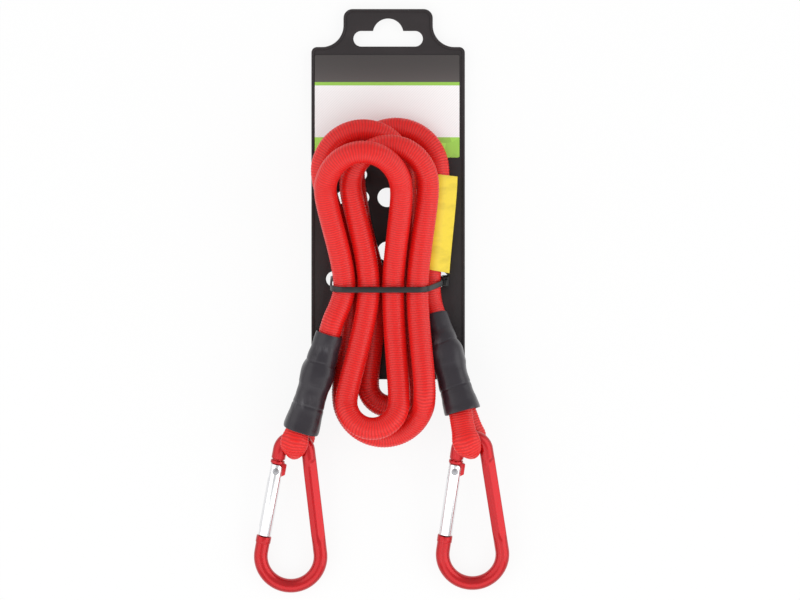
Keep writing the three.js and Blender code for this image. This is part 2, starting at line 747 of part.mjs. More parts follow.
function springGeometry() {
  const wire = SPRING_WIRE / 2;
  const top = SPRING_TOP - wire;
  const bottom = -BORE_BELOW_PIN + GATE_AIR + wire;
  const count = SPRING_CURLS * CURL_STEPS;
  const pitch = (top - bottom) / (2 * Math.PI * SPRING_CURLS);
  const rings = Array.from({ length: count + 1 }, (_, i) => {
    const angle = (2 * Math.PI * i) / CURL_STEPS;
    const at = vec(
      SPRING_RADIUS * Math.sin(angle),
      THREE.MathUtils.lerp(bottom, top, i / count),
      SPRING_RADIUS * Math.cos(angle),
    );
    const along = vec(SPRING_RADIUS * Math.cos(angle), pitch, -SPRING_RADIUS * Math.sin(angle));
    return ringAt(at, along, vec(0, 1, 0), oval(WIRE_SIDES, wire));
  });
  return tube(rings);
}

Object.entries(ends).forEach(([name, { carabiner }]) => {
  const space = gateSpace();
  hankFrame.add(carabiner);
  carabiner.add(space);
  place(`${name}_frame`, frameGeometry(space), anodised, carabiner);
  place(`${name}_gate`, gateGeometry(), silver, space);
  place(`${name}_gate_pin`, pinGeometry(), steel, space);
  place(`${name}_plunger`, plungerGeometry(), steel, space);
  place(`${name}_spring`, springGeometry(), steel, space);
});

// Hang card and its insert

// The card's outline, drawn in by an inset.
function cardOutline(inset) {
  const left = CARD_LEFT + inset;
  const right = CARD_RIGHT - inset;
  const middle = (CARD_LEFT + CARD_RIGHT) / 2;
  const corner = CARD_CORNER - inset;
  const fillet = TAB_FILLET + inset;
  const tab = TAB_WIDTH / 2 - inset;
  const tabCorner = TAB_CORNER - inset;
  const bottom = CARD_BOTTOM + inset;
  const shoulder = CARD_SHOULDER - inset;
  const top = CARD_TOP - inset;
  const quarter = Math.PI / 2;
  const shape = new THREE.Shape();
  shape.absarc(right - corner, bottom + corner, corner, -quarter, 0, false);
  shape.absarc(right - corner, shoulder - corner, corner, 0, quarter, false);
  shape.absarc(middle + tab + fillet, shoulder + fillet, fillet, -quarter, -2 * quarter, true);
  shape.absarc(middle + tab - tabCorner, top - tabCorner, tabCorner, 0, quarter, false);
  shape.absarc(middle - tab + tabCorner, top - tabCorner, tabCorner, quarter, 2 * quarter, false);
  shape.absarc(middle - tab - fillet, shoulder + fillet, fillet, 0, -quarter, true);
  shape.absarc(left + corner, shoulder - corner, corner, quarter, 2 * quarter, false);
  shape.absarc(left + corner, bottom + corner, corner, 2 * quarter, 3 * quarter, false);
  return shape;
}

function roundSlot(x, y, width, height) {
  const radius = height / 2;
  const run = width / 2 - radius;
  const path = new THREE.Path();
  path.absarc(x + run, y, radius, -Math.PI / 2, Math.PI / 2, false);
  path.absarc(x - run, y, radius, Math.PI / 2, (3 * Math.PI) / 2, false);
  return path;
}

function hangSlot() {
  const middle = (CARD_LEFT + CARD_RIGHT) / 2;
  const radius = SLOT_HEIGHT / 2;
  const run = SLOT_WIDTH / 2 - radius;
  const half = SLOT_ARCH_WIDTH / 2;
  const archRadius = (half ** 2 + SLOT_ARCH_RISE ** 2) / (2 * SLOT_ARCH_RISE);
  const archY = SLOT_Y + radius + SLOT_ARCH_RISE - archRadius;
  const spring = Math.asin((SLOT_Y + radius - archY) / archRadius);
  const path = new THREE.Path();
  path.absarc(middle + run, SLOT_Y, radius, -Math.PI / 2, Math.PI / 2, false);
  path.absarc(middle, archY, archRadius, spring, Math.PI - spring, false);
  path.absarc(middle - run, SLOT_Y, radius, Math.PI / 2, (3 * Math.PI) / 2, false);
  return path;
}

const roundHole = (x, y, diameter) => {
  const path = new THREE.Path();
  path.absarc(x, y, diameter / 2, 0, 2 * Math.PI, false);
  return path;
};

const TIE_HALF_SPAN = LANE * 1.75 + CORD_RADIUS + TIE_AIR + TIE_THICKNESS / 2;

function cardGeometry() {
  const plate = cardOutline(RIM_WIDTH / 2);
  plate.holes.push(hangSlot());
  SIGHT_HOLES_Y.forEach((y) => plate.holes.push(roundHole(0, y, SIGHT_HOLE)));
  [-1, 1].forEach((side) => {
    plate.holes.push(roundSlot(side * SIDE_SLOT_X, SIGHT_HOLES_Y[1], SIDE_SLOT_WIDTH, SIDE_SLOT_HEIGHT));
    plate.holes.push(roundHole(side * SMALL_HOLE_X, SMALL_HOLE_Y, SMALL_HOLE));
    plate.holes.push(roundHole(side * (TIE_HALF_SPAN - TIE_HOLE_INSET), TIE_HOLE_Y, TIE_HOLE));
  });
  const rim = cardOutline(0);
  rim.holes.push(cardOutline(RIM_WIDTH));
  return join(prism(plate, PLATE_BACK, PLATE_FRONT, 4), prism(rim, 0, CARD_DEPTH, 4));
}

place("hang_card", cardGeometry(), plastic);
const insertBack = PLATE_FRONT + PAPER_SEAT;
place(
  "card_insert",
  block(INSERT_LEFT, INSERT_RIGHT, INSERT_BOTTOM, INSERT_TOP, insertBack, insertBack + INSERT_THICKNESS),
  paper,
);

// Cable tie

// The outline drawn tight round circles [x, y, radius], listed counterclockwise.
function tightOutline(circles, offset, Kind) {
  const path = new Kind();
  const legs = circles.map(([x, y, r], i) => {
    const [nx, ny, nr] = circles[(i + 1) % circles.length];
    const span = Math.hypot(nx - x, ny - y);
    return Math.atan2(ny - y, nx - x) - Math.PI / 2 - Math.asin((nr - r) / span);
  });
  circles.forEach(([x, y, r], i) => {
    path.absarc(x, y, r + offset, legs.at(i - 1), legs[i], false);
  });
  return path;
}

function tieGeometry() {
  const stretch = 1 / Math.cos(TIE_LEAN);
  const hold = CORD_RADIUS + TIE_AIR;
  const low = (PLATE_BACK - SEAT_AIR) * stretch + TIE_CORNER;
  const half = TIE_HALF_SPAN - TIE_THICKNESS / 2;
  const circles = [
    [laneX(true, 3), BACK_LAYER * stretch, hold],
    [laneX(false, 3), FRONT_LAYER * stretch, hold],
    [laneX(false, 0), FRONT_LAYER * stretch, hold],
    [-half + TIE_CORNER, low, TIE_CORNER],
    [half - TIE_CORNER, low, TIE_CORNER],
  ];
  const loop = tightOutline(circles, TIE_THICKNESS, THREE.Shape);
  loop.holes.push(tightOutline(circles, 0, THREE.Path));
  const band = prism(loop, -TIE_WIDTH / 2, TIE_WIDTH / 2, 5);
  const headFoot = (CARD_DEPTH + SEAT_AIR) * stretch;
  const headTop = headFoot + TIE_HEAD_LENGTH;
  const headHalf = TIE_HEAD_WIDTH / 2;
  const head = block(half, half + TIE_HEAD_DEPTH, headFoot, headTop, -headHalf, headHalf);
  const tailX = half + TIE_HEAD_DEPTH - 0.5;
  const tail = block(tailX - TIE_THICKNESS, tailX, headTop - 1, headTop + TIE_TAIL, -TIE_WIDTH / 2, TIE_WIDTH / 2);
  const plateMiddle = (PLATE_BACK + PLATE_FRONT) / 2;
  return join(band, head, tail)
    .rotateX(Math.PI / 2 + TIE_LEAN)
    .translate(0, TIE_HOLE_Y + Math.tan(TIE_LEAN) * plateMiddle, 0);
}

place("cable_tie", tieGeometry(), plastic);

// Flag tag

// The cord's point at a height Y on the last leg down, found by halving.
function lastLegShare(y) {
  const legEnd = (hank.curve.points.length - 4) / (hank.curve.points.length - 1);
  let high = legEnd - 1 / (hank.curve.points.length - 1);
  let low = legEnd;
  for (let i = 0; i < 30; i += 1) {
    const share = (low + high) / 2;
    if (hank.curve.getPoint(share).y > y) high = share;
    else low = share;
  }
  return low;
}

function tagGeometry() {
  const from = lastLegShare(TAG_TOP);
  const to = lastLegShare(TAG_BOTTOM);
  const hold = CORD_RADIUS + SEAT_AIR + 0.05;
  const sides = 14;
  const inner = oval(sides, hold);
  const outer = oval(sides, hold + TAG_THICKNESS);
  inner[0] = [hold + TAG_FLAG - 2 * TAG_THICKNESS, 0];
  outer[0] = [hold + TAG_FLAG + TAG_THICKNESS, 0];
  const stations = Array.from({ length: 6 }, (_, i) => {
    const share = THREE.MathUtils.lerp(from, to, i / 5);
    return [hank.curve.getPoint(share), hank.curve.getTangent(share)];
  });
  const rings = (section) => stations.map(([at, along]) => ringAt(at, along, Z_AXIS, section));
  return tube(rings(outer), rings(inner));
}

place("flag_tag", tagGeometry(), vinyl);

export default assembly;
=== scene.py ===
"""Surfaces and finishes of a red elastic cord with two carabiners, wound into a hank on a hang card.

Lengths are metres in the part's own frame: X runs right, Y up the card and Z out of its front.
"""

import json
import math
from collections import namedtuple

import bmesh
import bpy
import numpy as np
from bpy.props import FloatProperty, FloatVectorProperty, IntProperty, PointerProperty
from bpy.types import Operator, Panel, PropertyGroup
from mathutils import Matrix, Vector


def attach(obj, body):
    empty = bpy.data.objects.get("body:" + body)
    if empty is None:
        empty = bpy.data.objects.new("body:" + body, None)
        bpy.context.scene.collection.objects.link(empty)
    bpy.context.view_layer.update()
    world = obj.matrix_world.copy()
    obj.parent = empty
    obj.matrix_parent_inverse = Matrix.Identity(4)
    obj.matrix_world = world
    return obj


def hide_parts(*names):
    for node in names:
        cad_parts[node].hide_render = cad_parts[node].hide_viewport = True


bl_info = {
    "name": "Bungee cord on a hang card",
    "version": (1, 0, 0),
    "blender": (4, 5, 0),
    "location": "View3D > Sidebar > Bungee cord",
    "description": "Builds the wound cord, its carabiners, the hang card and the stage",
    "category": "Object",
}

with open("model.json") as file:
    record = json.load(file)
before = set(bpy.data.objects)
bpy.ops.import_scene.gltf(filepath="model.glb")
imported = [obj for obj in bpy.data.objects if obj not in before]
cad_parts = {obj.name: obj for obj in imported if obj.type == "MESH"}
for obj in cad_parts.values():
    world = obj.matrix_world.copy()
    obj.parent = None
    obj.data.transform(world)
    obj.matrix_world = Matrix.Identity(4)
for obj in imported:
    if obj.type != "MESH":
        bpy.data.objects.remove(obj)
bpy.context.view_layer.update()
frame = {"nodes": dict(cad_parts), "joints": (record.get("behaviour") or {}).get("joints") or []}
JOINTS = {joint["name"]: joint for joint in frame["joints"]}
SIDES = ("left", "right")
HANK = "hank"
MM = 0.001
QUARTER = math.pi / 2
UP = (0.0, 0.0, 1.0)

# Where the waist of the hank lies in the part's frame.
WAIST = np.array([2.2, 5.3, 0.0]) * MM

# Bows at the top and bottom of the hank's loops, from the waist: middle, radius, and heights at the
# start, peak and end, counted in strands above the layer that lies on the card.
TOP_BOWS = (
    ((-10.3, 42.3), 16.6, (2.0, 3.06, 2.0)),
    ((1.0, 45.0), 16.9, (1.5, 2.02, 1.5)),
    ((-10.4, 50.9), 18.2, (0.65, 1.13, 0.65)),
    ((3.9, 51.6), 18.6, (0.03, 0.05, 0.03)),
)
# A point that the leg up to the last top bow passes under the strands over it.
LAST_KNEE = (-12.0, 30.0)
BOTTOM_BOWS = (
    ((-6.3, -50.0), 11.5, (1.5, 1.75, 1.35)),
    ((-1.5, -47.4), 17.9, (1.6, 0.45, 0.05)),
    ((1.2, -42.6), 9.6, (0.03, 0.06, 0.1)),
)
BOW_STEPS = 8
LINE_STEPS = 60

# Where the sleeves are creased, from their mouths, and how wide and how slanted the creases are.
CREASES = (13.6, 33.5)
CREASE_WIDTH = 0.5 * MM
CREASE_SLANT = 0.8 * MM
# Heights of the sleeves' ripples and folds and depths of their lips and creases, in millimetres.
RIPPLE_HEIGHT = 0.16
FOLD_HEIGHT = 0.1
LIP_DEPTH = 0.2
CREASE_DEPTH = 0.26
# Turns of the ripples and folds along a sleeve in radians, and the share of it that a lip takes.
RIPPLE_TURN = 9
FOLD_TURN = 34
LIP_SHARE = 0.012
# Rings along a sleeve, points round it, and the rings over which it rounds off an edge.
SLEEVE_RINGS = 150
SLEEVE_SIDES = 72
SLEEVE_BLUR = 9

# Rings round a carabiner's small bow, along its spine and round its big bow, and points round its rod.
SMALL_BOW_RINGS = 40
SPINE_RINGS = 120
BIG_BOW_RINGS = 72
ROD_SIDES = 80

# The spine's facets: how squarely they meet, how many times longer they run out on the inside, and
# the half width of the furrow along the ridge in radians.
FACET_POWER = 26.0
FACET_STRETCH = 6
FURROW_ANGLE = 0.09

# Points round the tie's band, and how square its section is.
BAND_SIDES = 28
BAND_POWER = 5.0

# Levels of points along the tag, and the turns of its wave at the two ends in radians.
TAG_LEVELS = 60
WAVE_TURNS = (0.4, 7.5)

# Edges over this angle in degrees get rounded, and points closer than this become one.
SOFTEN_OVER = 25
MERGE_WITHIN = 0.001 * MM

# Rounded edges, and small spaces and depths at the rivets, the tie's tail and the tag's fold.
TONGUE_EDGE = 0.2 * MM
GATE_EDGE = 0.3 * MM
BOARD_EDGE = 0.08 * MM
TIE_HEAD_EDGE = 0.45 * MM
TIE_TAIL_EDGE = 0.12 * MM
RIVET_AIR = 0.1 * MM
TAIL_INSET = 0.5 * MM
TAIL_AIR = (0.35 * MM, 0.15 * MM, 0.25 * MM)
TAIL_DEPTH = 1 * MM
MOUTH_DEPTH = 0.9 * MM
FOLD_GAP = 0.02 * MM
RIVET_TIP = 0.06 * MM
TONGUE_ROOT = 0.6 * MM
# Free space between the cord and a sleeve or the tag, on top of the seat's.
LOOSE_FIT = 0.05 * MM
# How far the floor lies below the part, and how far it reaches from the middle.
FLOOR_DROP = 0.2 * MM
FLOOR_REACH = 4.0
# How far a cutting shape reaches past what it cuts.
CUT_PAST = 1 * MM
# Width of the soft edge between two printed colours.
PRINT_EDGE = 0.05 * MM

# The middle of each sleeve's upper end, from the waist, and how its line runs into the carabiner.
ENDS = {
    "left": {"mouth": (-25.2, -20.0, 19.6), "heading": -17.4, "knee": 0.4},
    "right": {"mouth": (21.0, -12.0, 10.4), "heading": 12.0, "knee": 0.3},
}


# Finishes of the metals and of the moulded plastics: the name of the colour, the least roughness, the
# lumps of grain to a metre, how the grain is stretched and how high it stands, the strength of the
# clear coat, and how much paler the handling marks are.
Metal = namedtuple("Metal", "colour smooth grain stretch relief coat")
METALS = {
    "red_anodised": Metal("anodised", 0.36, 2600, (1.0, 0.3, 1.0), 0.008 * MM, 0.45),
    "bright_aluminium": Metal("aluminium", 0.1, 4200, (1.0, 0.06, 1.0), 0.004 * MM, 0.0),
    "steel": Metal("steel", 0.34, 2200, (1.0, 1.0, 1.0), 0.008 * MM, 0.0),
}
Plastic = namedtuple("Plastic", "colour smooth relief pale")
PLASTICS = {
    "black_plastic": Plastic("card", 0.42, 0.035 * MM, 1.3),
    "tie_plastic": Plastic("tie", 0.24, 0.012 * MM, 6.0),
}


# Properties


def length(name, millimetres, description):
    """A size that is written in millimetres and kept in metres."""
    return FloatProperty(
        name=name, description=description, default=millimetres * MM, unit="LENGTH", precision=6
    )


def share(name, value, description):
    """A plain number without a unit."""
    return FloatProperty(name=name, description=description, default=value, precision=4)


def count(name, value, description):
    """A whole number of things."""
    return IntProperty(name=name, description=description, default=value, min=1)


def turn(name, degrees, description):
    """An angle that is written in degrees and kept in radians."""
    return FloatProperty(
        name=name, description=description, default=math.radians(degrees), subtype="ANGLE"
    )


def colour(name, screen, description):
    """A colour that is written as screen levels from 0 to 255 and kept linear."""
    levels = [level / 255 for level in screen]
    linear = [v / 12.92 if v <= 0.04045 else ((v + 0.055) / 1.055) ** 2.4 for v in levels]
    return FloatVectorProperty(
        name=name, description=description, default=linear, size=3, min=0, max=1, subtype="COLOR"
    )


class CordSizes(PropertyGroup):
    """Sizes of the elastic cord and of its braid."""

    diameter: length("Diameter", 10, "Across the braided cover")
    strand_air: length("Air between strands", 0.7, "Free space between neighbouring strands")
    core_share: share("Core share", 0.66, "The core's diameter as a share of the cord's")
    core_air: length("Core air", 0.3, "Free space between the core and the cover")
    under_air: length("Air under the hank", 1, "Free space between the hank and the card")
    back_shift: length("Back shift", 2.7, "Of the back layer's first two strands, to the left")
    rib_pitch: length("Rib pitch", 1.08, "From one rib of the braid to the next")
    rib_depth: length("Rib depth", 0.2, "How far the ribs stand out")
    rib_slant: share("Rib slant", 0.22, "Ribs that a slanted rib climbs across one column")
    column_pairs: count("Column pairs", 5, "Pairs of columns with ribs slanted to and fro")
    twist: share("Twist", 2.2, "Column pairs that the braid turns by in a metre")
    rib_rings: count("Rings to a rib", 4, "Rings of points along one rib")
    sides: count("Sides", 40, "Points round the cord")
    core_strands: count("Rubber strands", 11, "Rubber strands that show round the core")


class EndSizes(PropertyGroup):
    """Sizes of the sleeves and of the doubled cord in them."""

    sleeve_length: length("Sleeve length", 44.5, "Along the sleeve")
    sleeve_wall: length("Sleeve wall", 0.7, "Thickness of the shrunk tube")
    sleeve_thin: length("Stretched away", 0.15, "How much thinner the tube gets over an edge")
    sleeve_power: share("Sleeve squareness", 3, "2 is an oval, more is squarer")
    clamp_from: length("Clamp start", 17, "From the sleeve's mouth to the clamp")
    clamp_to: length("Clamp end", 22.5, "From the sleeve's mouth to the clamp's far edge")
    clamp_wall: length("Clamp wall", 0.5, "Thickness of the clamp's band")
    cord_in: length("Cord in sleeve", 5, "How far the hank's end goes into the sleeve")
    seat_air: length("Seat air", 0.3, "Free space between pieces that touch")
    pressed_width: length("Pressed half width", 5.7, "Half the width of the pressed cord")
    pressed_depth: length("Pressed half depth", 3.4, "Half the depth of the pressed cord")
    nip: length("Clamp nip", 0.25, "How much further the clamp presses the cord")
    tail_end: length("Tail end", 15.5, "From the sleeve's mouth to the cord's cut tail")
    eye_air: length("Eye air", 0.55, "Free space between the eye and the carabiner's rod")
    eye_rise: length("Eye rise", 2.2, "How far the eye's legs spread on their way to the rod")
    eye_width: length("Eye half width", 6.2, "Half the eye's width where it leaves the sleeve")
    eye_depth: length("Eye half depth", 3.5, "Half the eye's depth where it leaves the sleeve")
    neck_depth: length("Neck half depth", 3, "Half the cord's depth where it turns round the rod")
    skew: length("Eye skew", 1.3, "How far the eye's legs lie aside, the front one to the left")


class CarabinerSizes(PropertyGroup):
    """Sizes of a carabiner's frame, in its own plane."""

    rod: length("Rod radius", 3.05, "Radius of the bent rod")
    small_bow: length("Small bow", 6.3, "Radius of the small bow's middle line")
    big_bow: length("Big bow", 13.2, "Radius of the big bow's middle line")
    spacing: length("Bow spacing", 47, "Between the middles of the bows")
    ridge: length("Ridge place", -0.4, "Of the spine's ridge from the rod's middle, outward")
    facet_inner: length("Inner facet", 1.5, "Half height of the spine's inner edge")
    facet_outer: length("Outer facet", 1, "Half height of the spine's outer edge")
    facet_from: length("Facets start", 3.6, "From the small bow to the flattened spine")
    facet_to: length("Facets end", 42.5, "From the small bow to the end of the flattened spine")
    facet_run: length("Facet run", 0.9, "Length over which the rod flattens")
    furrow: length("Furrow", 0.3, "Depth of the fine furrow along the spine's ridge")
    collar: length("Collar radius", 3.1, "Radius of the collar above the gate")
    collar_length: length("Collar length", 1.4, "Along the collar")
    groove: length("Groove radius", 2.4, "Radius of the groove above the collar")
    groove_length: length("Groove length", 0.7, "Along the groove")
    nose: length("Nose radius", 3.3, "Radius of the nose's head")
    nose_length: length("Nose length", 3, "Along the nose's head")
    nose_taper: length("Nose taper", 0.8, "From the nose's head to the rod")
    edge: length("Edge", 0.25, "Radius of the rounded edges")


class GateSizes(PropertyGroup):
    """Sizes of a gate and its hinge, down from the hinge pin."""

    radius: length("Gate radius", 2.95, "Radius of the gate's bar")
    from_bow: length("Pin place", 9.6, "From the small bow down the side to the pin")
    above: length("Above the pin", 3, "From the pin up to the gate's end")
    below: length("Below the pin", 29.6, "From the pin down to the gate's end")
    air: length("Air", 0.3, "Free space round the gate's ends and pins")
    tongue: length("Tongue thickness", 2, "Thickness of the two tongues")
    tongue_inner: length("Tongue inside", 4.2, "From the pin to the tongue's inner edge")
    tongue_outer: length("Tongue outside", 2.2, "From the pin to the tongue's outer edge")
    tongue_below: length("Tongue end", 2.8, "From the pin to the tongue's end")
    tongue_tip: length("Tongue tip", 1.9, "Half width of the tongue's end")
    tongue_hook: length("Tongue hook", 1.2, "From the pin to the corners over the tip")
    fork_below: length("Fork depth", 3.9, "From the pin down to the fork's root")
    nose_tongue: length("Nose tongue", 3.7, "How far the nose's tongue reaches up the gate")
    nose_outer: length("Nose tongue outside", 2.1, "From the middle to its outer edge")
    nose_inner: length("Nose tongue inside", 1.1, "From the middle to its inner edge")
    pin: length("Pin radius", 1, "Radius of the hinge pin")
    pin_head: length("Pin head radius", 1.45, "Radius of the riveted head")
    pin_dome: length("Pin head height", 0.45, "Height of the riveted head")
    bore: length("Bore radius", 1.7, "Radius of the bore for the spring")
    bore_below: length("Bore depth", 17, "From the pin down to the end of the bore")
    sides: count("Sides", 96, "Points round the gate")


class CardSizes(PropertyGroup):
    """Sizes of the hang card, from the waist of the hank."""

    left: length("Left", -33.5, "Left edge")
    right: length("Right", 34.4, "Right edge")
    bottom: length("Bottom", -40.4, "Lower edge")
    shoulder: length("Shoulder", 106.6, "Upper edge beside the tab")
    top: length("Top", 123.4, "Upper edge of the tab")
    corner: length("Corner", 2.5, "Radius of the corners")
    tab_width: length("Tab width", 39.5, "Across the tab")
    tab_corner: length("Tab corner", 4, "Radius of the tab's corners")
    tab_fillet: length("Tab fillet", 9.6, "Radius where the tab meets the shoulders")
    depth: length("Depth", 3.9, "Height of the rim")
    rim: length("Rim", 1.15, "Width of the rim")
    plate_back: length("Plate back", 2.1, "Height of the plate's back")
    plate_front: length("Plate front", 3.3, "Height of the plate's front")
    edge: length("Edge", 0.18, "Radius of the rounded edges")
    slot_width: length("Slot width", 30.7, "Across the hang slot")
    slot_height: length("Slot height", 6.9, "Height of the hang slot's ends")
    slot_below_top: length("Slot place", 13.1, "From the tab's upper edge to the slot's middle")
    arch_width: length("Arch width", 13.3, "Across the arch over the slot")
    arch_rise: length("Arch rise", 5.5, "Height of the arch over the slot")
    sight_hole: length("Sight hole", 8.5, "Diameter of the two middle holes")
    sight_low: length("Lower sight hole", 16.3, "Height of the lower middle hole")
    sight_high: length("Upper sight hole", 40.1, "Height of the upper middle hole and the side slots")
    side_slot_width: length("Side slot width", 14.6, "Across a side slot")
    side_slot_height: length("Side slot height", 5.7, "Height of a side slot")
    side_slot_x: length("Side slot place", 15.2, "From the middle to a side slot")
    small_hole: length("Small hole", 5, "Diameter of the two small holes")
    small_x: length("Small hole place", 11.4, "From the middle to a small hole")
    small_y: length("Small hole height", 50.2, "Height of the small holes")
    tie_hole: length("Tie hole", 6.8, "Diameter of the holes for the tie")
    tie_y: length("Tie hole height", 4, "Height of the holes for the tie")
    tie_inset: length("Tie hole inset", 0.98, "From the tie's band to the middle of its hole, inward")


class InsertSizes(PropertyGroup):
    """Sizes of the printed insert, from the waist of the hank."""

    left: length("Left", -32, "Left edge")
    right: length("Right", 32, "Right edge")
    bottom: length("Bottom", 57.7, "Lower edge")
    top: length("Top", 103.1, "Upper edge")
    thickness: length("Thickness", 0.4, "Of the board")
    seat: length("Seat", 0.05, "Free space under the board")
    corner: length("Corner", 0.8, "Radius of the corners")
    band: length("Band", 12, "Height of the dark band at the top")
    rule: length("Rule", 1.5, "Height of the thin stripe under the band")
    foot: length("Foot", 9, "Height of the coloured foot")


class TieSizes(PropertyGroup):
    """Sizes of the cable tie."""

    width: length("Width", 2.5, "Across the band")
    thickness: length("Thickness", 0.95, "Of the band")
    air: length("Air", 0.4, "Free space between the band and the cord")
    lean: turn("Lean", 12, "Of the tie's plane")
    corner: length("Corner", 1, "Inner radius of the bends behind the card")
    head_width: length("Head width", 4.4, "Across the head")
    head_depth: length("Head depth", 3, "Of the head, outward")
    head_length: length("Head length", 4.8, "Along the band")
    tail: length("Tail", 1.4, "Of the cut tail past the head")


class TagSizes(PropertyGroup):
    """Sizes of the flag tag."""

    bottom: length("Bottom", 8, "Lower edge, from the waist")
    top: length("Top", 50, "Upper edge, from the waist")
    thickness: length("Thickness", 0.35, "Of the vinyl")
    flag: length("Flag", 2.8, "How far the flag stands out past the cord")
    wave: length("Wave", 0.5, "Height of the flag's slow wave")
    shear: share("Shear", 0.1, "How far the cut ends slope down towards the flag")


class Colours(PropertyGroup):
    """Colours of the finishes."""

    rib: colour("Rib", (236, 22, 14), "Crown of the braid's ribs")
    # Painted shade: the valley colour is the braid's red darkened where the ribs sink between their
    # crowns.
    valley: colour("Valley", (196, 10, 10), "Between the ribs")
    rubber: colour("Rubber", (222, 206, 168), "Core")
    sleeve: colour("Sleeve", (38, 34, 40), "Shrunk tube")
    scuff: colour("Scuff", (122, 120, 124), "Pale rub marks on the sleeves")
    anodised: colour("Anodised", (196, 24, 32), "Carabiner frames")
    aluminium: colour("Aluminium", (240, 240, 242), "Gates")
    steel: colour("Steel", (168, 169, 172), "Pins, clamps, plungers and springs")
    card: colour("Card", (33, 26, 28), "Moulded card")
    tie: colour("Tie", (13, 11, 12), "Cable tie")
    paper: colour("Paper", (246, 244, 244), "Pale field of the insert")
    band: colour("Band", (84, 78, 77), "Dark band of the insert")
    stripe: colour("Stripe", (150, 200, 78), "Stripes of the insert")
    vinyl: colour("Vinyl", (236, 208, 46), "Flag tag")
    floor: colour("Floor", (238, 238, 238), "Floor of the stage")


class StageSettings(PropertyGroup):
    """The camera and the light."""

    view_x: length("View middle X", 7.9, "Where the camera looks")
    view_width: length("View width", 352.4, "Width that the picture shows")
    camera_height: length("Camera height", 2000, "Of the camera over the floor")
    focus_height: length("Sharp height", 12, "Height at which the view width holds")
    box_width: length("Softbox width", 1200, "Across each softbox")
    box_length: length("Softbox length", 1700, "Along each softbox")
    box_side: length("Softbox distance", 1000, "From the middle to each softbox")
    box_height: length("Softbox height", 650, "Of each softbox over the floor")
    box_shift: length("Softbox shift", 140, "Of the dark gap between the softboxes, to the right")
    box_power: FloatProperty(
        name="Softbox power", description="Of each side softbox", default=6.9, unit="POWER"
    )
    box_lead: share("Right lead", 0.2, "How much stronger the right softbox and weaker the left one is")
    front_share: share("Front share", 0.9, "The front softbox's power as a share of a side one's")
    front_distance: length("Front distance", 1000, "From the middle to the front softbox")
    front_height: length("Front height", 800, "Of the front softbox over the floor")
    sky: share("Sky", 0.64, "Strength of the pale surroundings")
    floor_glow: share("Floor glow", 0.88, "Share of the floor that shows plain white to the camera")


class BungeeSettings(PropertyGroup):
    """All sizes, colours and light of the part."""

    cord: PointerProperty(type=CordSizes)
    ends: PointerProperty(type=EndSizes)
    carabiner: PointerProperty(type=CarabinerSizes)
    gate: PointerProperty(type=GateSizes)
    card: PointerProperty(type=CardSizes)
    insert: PointerProperty(type=InsertSizes)
    tie: PointerProperty(type=TieSizes)
    tag: PointerProperty(type=TagSizes)
    colours: PointerProperty(type=Colours)
    stage: PointerProperty(type=StageSettings)


# Shader arithmetic


class Value:
    """A shader socket that takes part in Python expressions."""

    def __init__(self, finish, socket):
        self.finish = finish
        self.socket = socket

    def math(self, operation, *values):
        inputs = dict(enumerate(values))
        return self.finish.node("Math", {"operation": operation}, inputs)

    def __add__(self, other):
        return self.math("ADD", self, other)

    def __radd__(self, other):
        return self.math("ADD", other, self)

    def __sub__(self, other):
        return self.math("SUBTRACT", self, other)

    def __rsub__(self, other):
        return self.math("SUBTRACT", other, self)

    def __mul__(self, other):
        return self.math("MULTIPLY", self, other)

    def __truediv__(self, other):
        return self.math("DIVIDE", self, other)

    def __pow__(self, other):
        return self.math("POWER", self, other)

    def __abs__(self):
        return self.math("ABSOLUTE", self)

    def sine(self):
        return self.math("SINE", self)

    def between(self, low, high):
        """0 below low, 1 above high, and a smooth climb from one to the other."""
        settings = {"interpolation_type": "SMOOTHSTEP"}
        return self.finish.node("MapRange", settings, {0: self, 1: low, 2: high, 3: 0.0, 4: 1.0})


